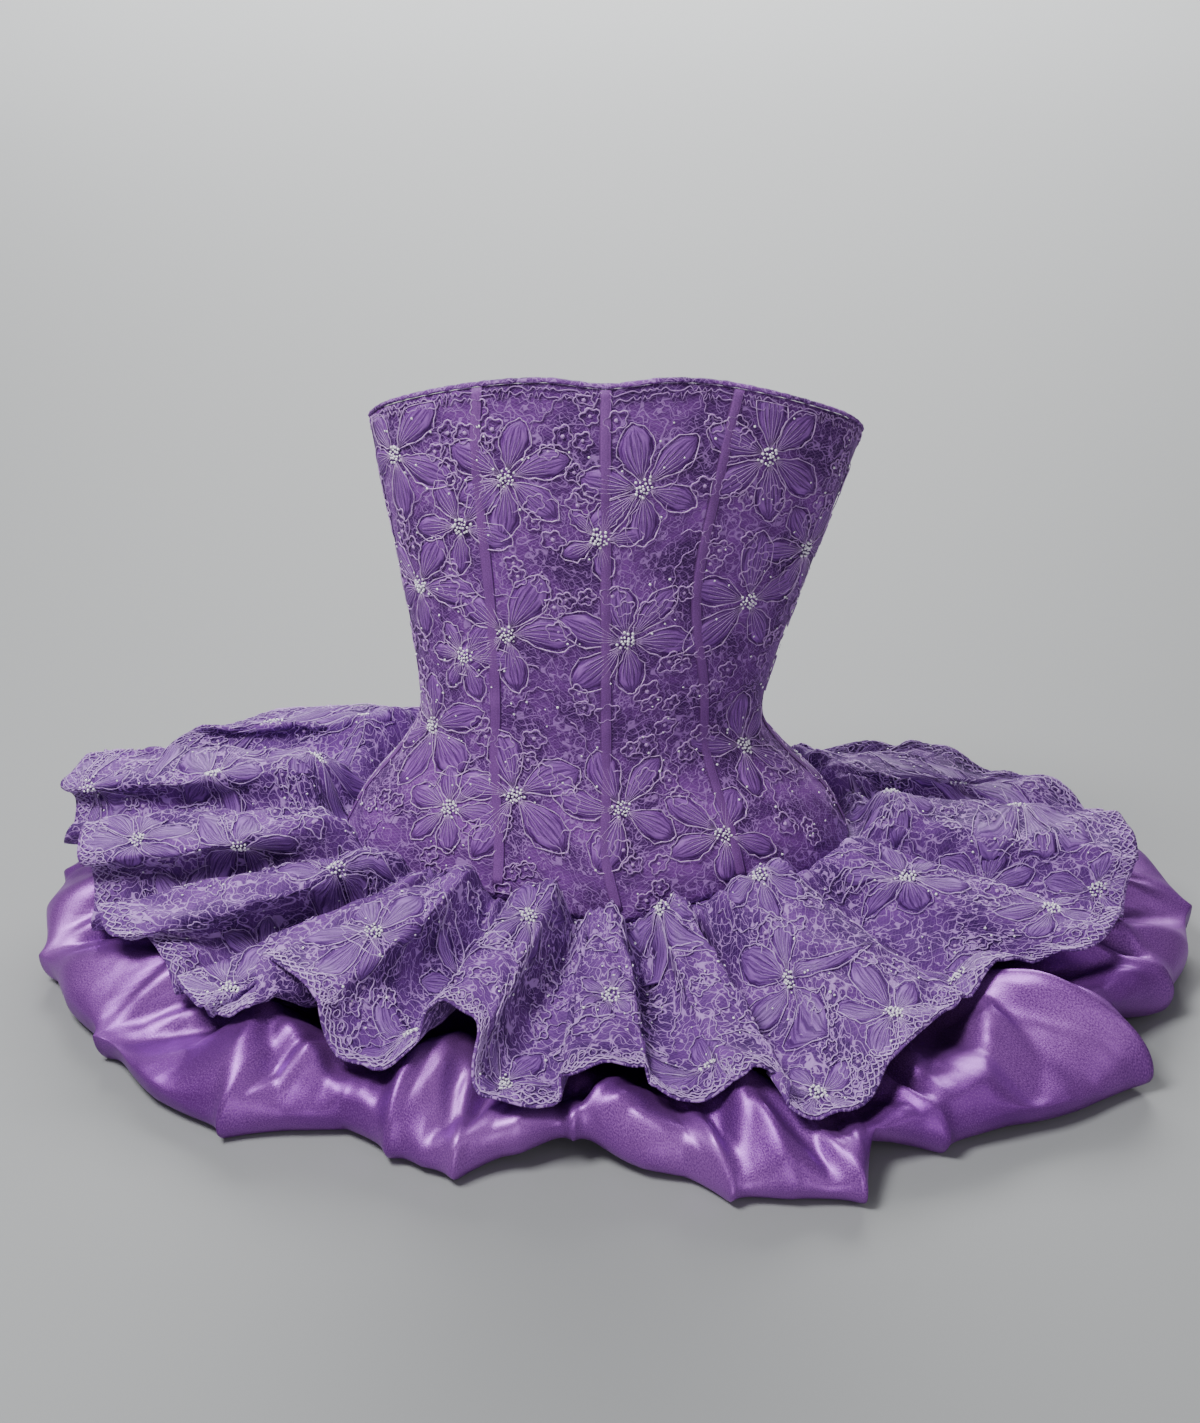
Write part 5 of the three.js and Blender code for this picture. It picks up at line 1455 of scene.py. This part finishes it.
place, normal = on_cloth(lace_cloth, ring_at, np.full_like(ring_at, RING_SHARE), x, y, HEM_LIFT + 0 * x)
hem.cords(place, normal, RING_RADIUS, sides=3)

skirt_trim = [
    (fills, "skirt_petals", skirt_petal), (outlines, "skirt_cords", skirt_cord),
    (florets, "skirt_florets", skirt_cord), (beads, "skirt_beads", bead_skin),
    (knots, "skirt_floret_knots", dark_cord), (hem, "corded_hem", skirt_cord),
]
for trim, name, skin in skirt_trim:
    trim.piece(name, material=skin, slot="skirt_lace")

# %% [markdown]
# ## The flat cloth
# Each piece of cloth was once flat. The panels were cut to shape and are stretched over
# their bones, while both skirts were cut far wider than their seam and gathered. The
# sizes are measured on the grids themselves, and not guessed from the outline.

# %% What each cloth was cut from


def cut_size(cloth):
    """The longest row and the longest column of the grid, in metres, and its area."""
    closed = np.concatenate([cloth.P, cloth.P[:1]]) if cloth.ring else cloth.P
    wide = np.linalg.norm(np.diff(closed, axis=0), axis=-1).sum(0).max() * MM
    long = np.linalg.norm(np.diff(cloth.P, axis=1), axis=-1).sum(1).max() * MM
    across, along = closed[1:, 1:] - closed[:-1, :-1], closed[1:, :-1] - closed[:-1, 1:]
    area = np.linalg.norm(np.cross(across, along), axis=-1).sum() / 2 * MM * MM
    return (float(wide), float(long)), float(area)


cut_cloths = [(cloth, panel, "stretched", []) for cloth, panel in panels]
cut_cloths.append((satin_cloth, satin_skirt, "gathered", []))
cut_cloths.append((lace_cloth, lace_skirt, "gathered", [name for _, name, _ in skirt_trim]))
for cloth, piece, held, sewn_on in cut_cloths:
    flat, area = cut_size(cloth)
    print(f"{piece.name}: cut {flat[0]:.3f} x {flat[1]:.3f} m, {area:.4f} m2")

# %% [markdown]
# ## The zip
# The zip is hard and small, so its three solids are used as the frame has them, and
# only get their finish here.

# %% Zip
zip_metal = Shader("zip_metal").finish(Base_Color=colour(0.36, 0.28, 0.44), Roughness=0.3, Metallic=1.0)
zip_tape = Shader("zip_tape").finish(Base_Color=colour(0.12, 0.04, 0.22), Roughness=0.7)
for node, skin, slot in (("zip_slider", zip_metal, "zip_metal"), ("zip_pull", zip_metal, "zip_metal"),
                         ("back_zip_strip", zip_tape, "zip_tape")):
    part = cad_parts[node]
    part.data.materials.clear()
    part.data.materials.append(skin)

# %% [markdown]
# ## The table and the light
# The dress stands on a plain pale plane that runs far back. The sky is weak and soft. A
# small lamp high at the left makes the long highlights of the satin. The window at the
# right and a low lamp in front open the shadows, one behind lifts the far side, and a
# broad one lights the plane in the distance.

# %% Table and light
TABLE_REACH, TABLE_BACK, TABLE_CLEAR = 30.0, 8.0, 0.0005
bpy.ops.mesh.primitive_plane_add(size=TABLE_REACH, location=(0.0, TABLE_BACK, -TABLE_CLEAR))
table = bpy.context.object
table.name = "table"
table_shader = Shader("table")
table.data.materials.append(table_shader.finish(Base_Color=colour(0.27, 0.277, 0.281), Roughness=0.6))

world = bpy.data.worlds.new("sky")
bpy.context.scene.world = world
world.use_nodes = True
sky = world.node_tree.nodes["Background"]
sky.inputs["Color"].default_value = colour(0.86, 0.88, 0.92)
sky.inputs["Strength"].default_value = 0.23


def lamp(name, place, size, power, aim=(0.0, 0.0, 0.2)):
    """A square soft lamp that faces the middle of the dress, or another aim."""
    data = bpy.data.lights.new(name, "AREA")
    data.size, data.energy = size, power
    lamp_object = bpy.data.objects.new(name, data)
    bpy.context.scene.collection.objects.link(lamp_object)
    lamp_object.location = place
    towards = mathutils.Vector(aim) - lamp_object.location
    lamp_object.rotation_euler = towards.to_track_quat("-Z", "Y").to_euler()
    print(name, "at", place)


lamp("ceiling_lamp", (-0.95, -0.5, 2.1), 0.7, 61.0)
lamp("window", (1.6, -1.6, 1.5), 0.9, 5.0)
lamp("low_front_fill", (0.2, -1.7, 0.25), 0.7, 6.0, aim=(0.0, -0.4, 0.0))
lamp("back_fill", (0.3, 2.0, 1.6), 1.5, 12.0)
lamp("far_wash", (0.0, 5.0, 3.0), 4.0, 720.0, aim=(0.0, 5.5, 0.0))
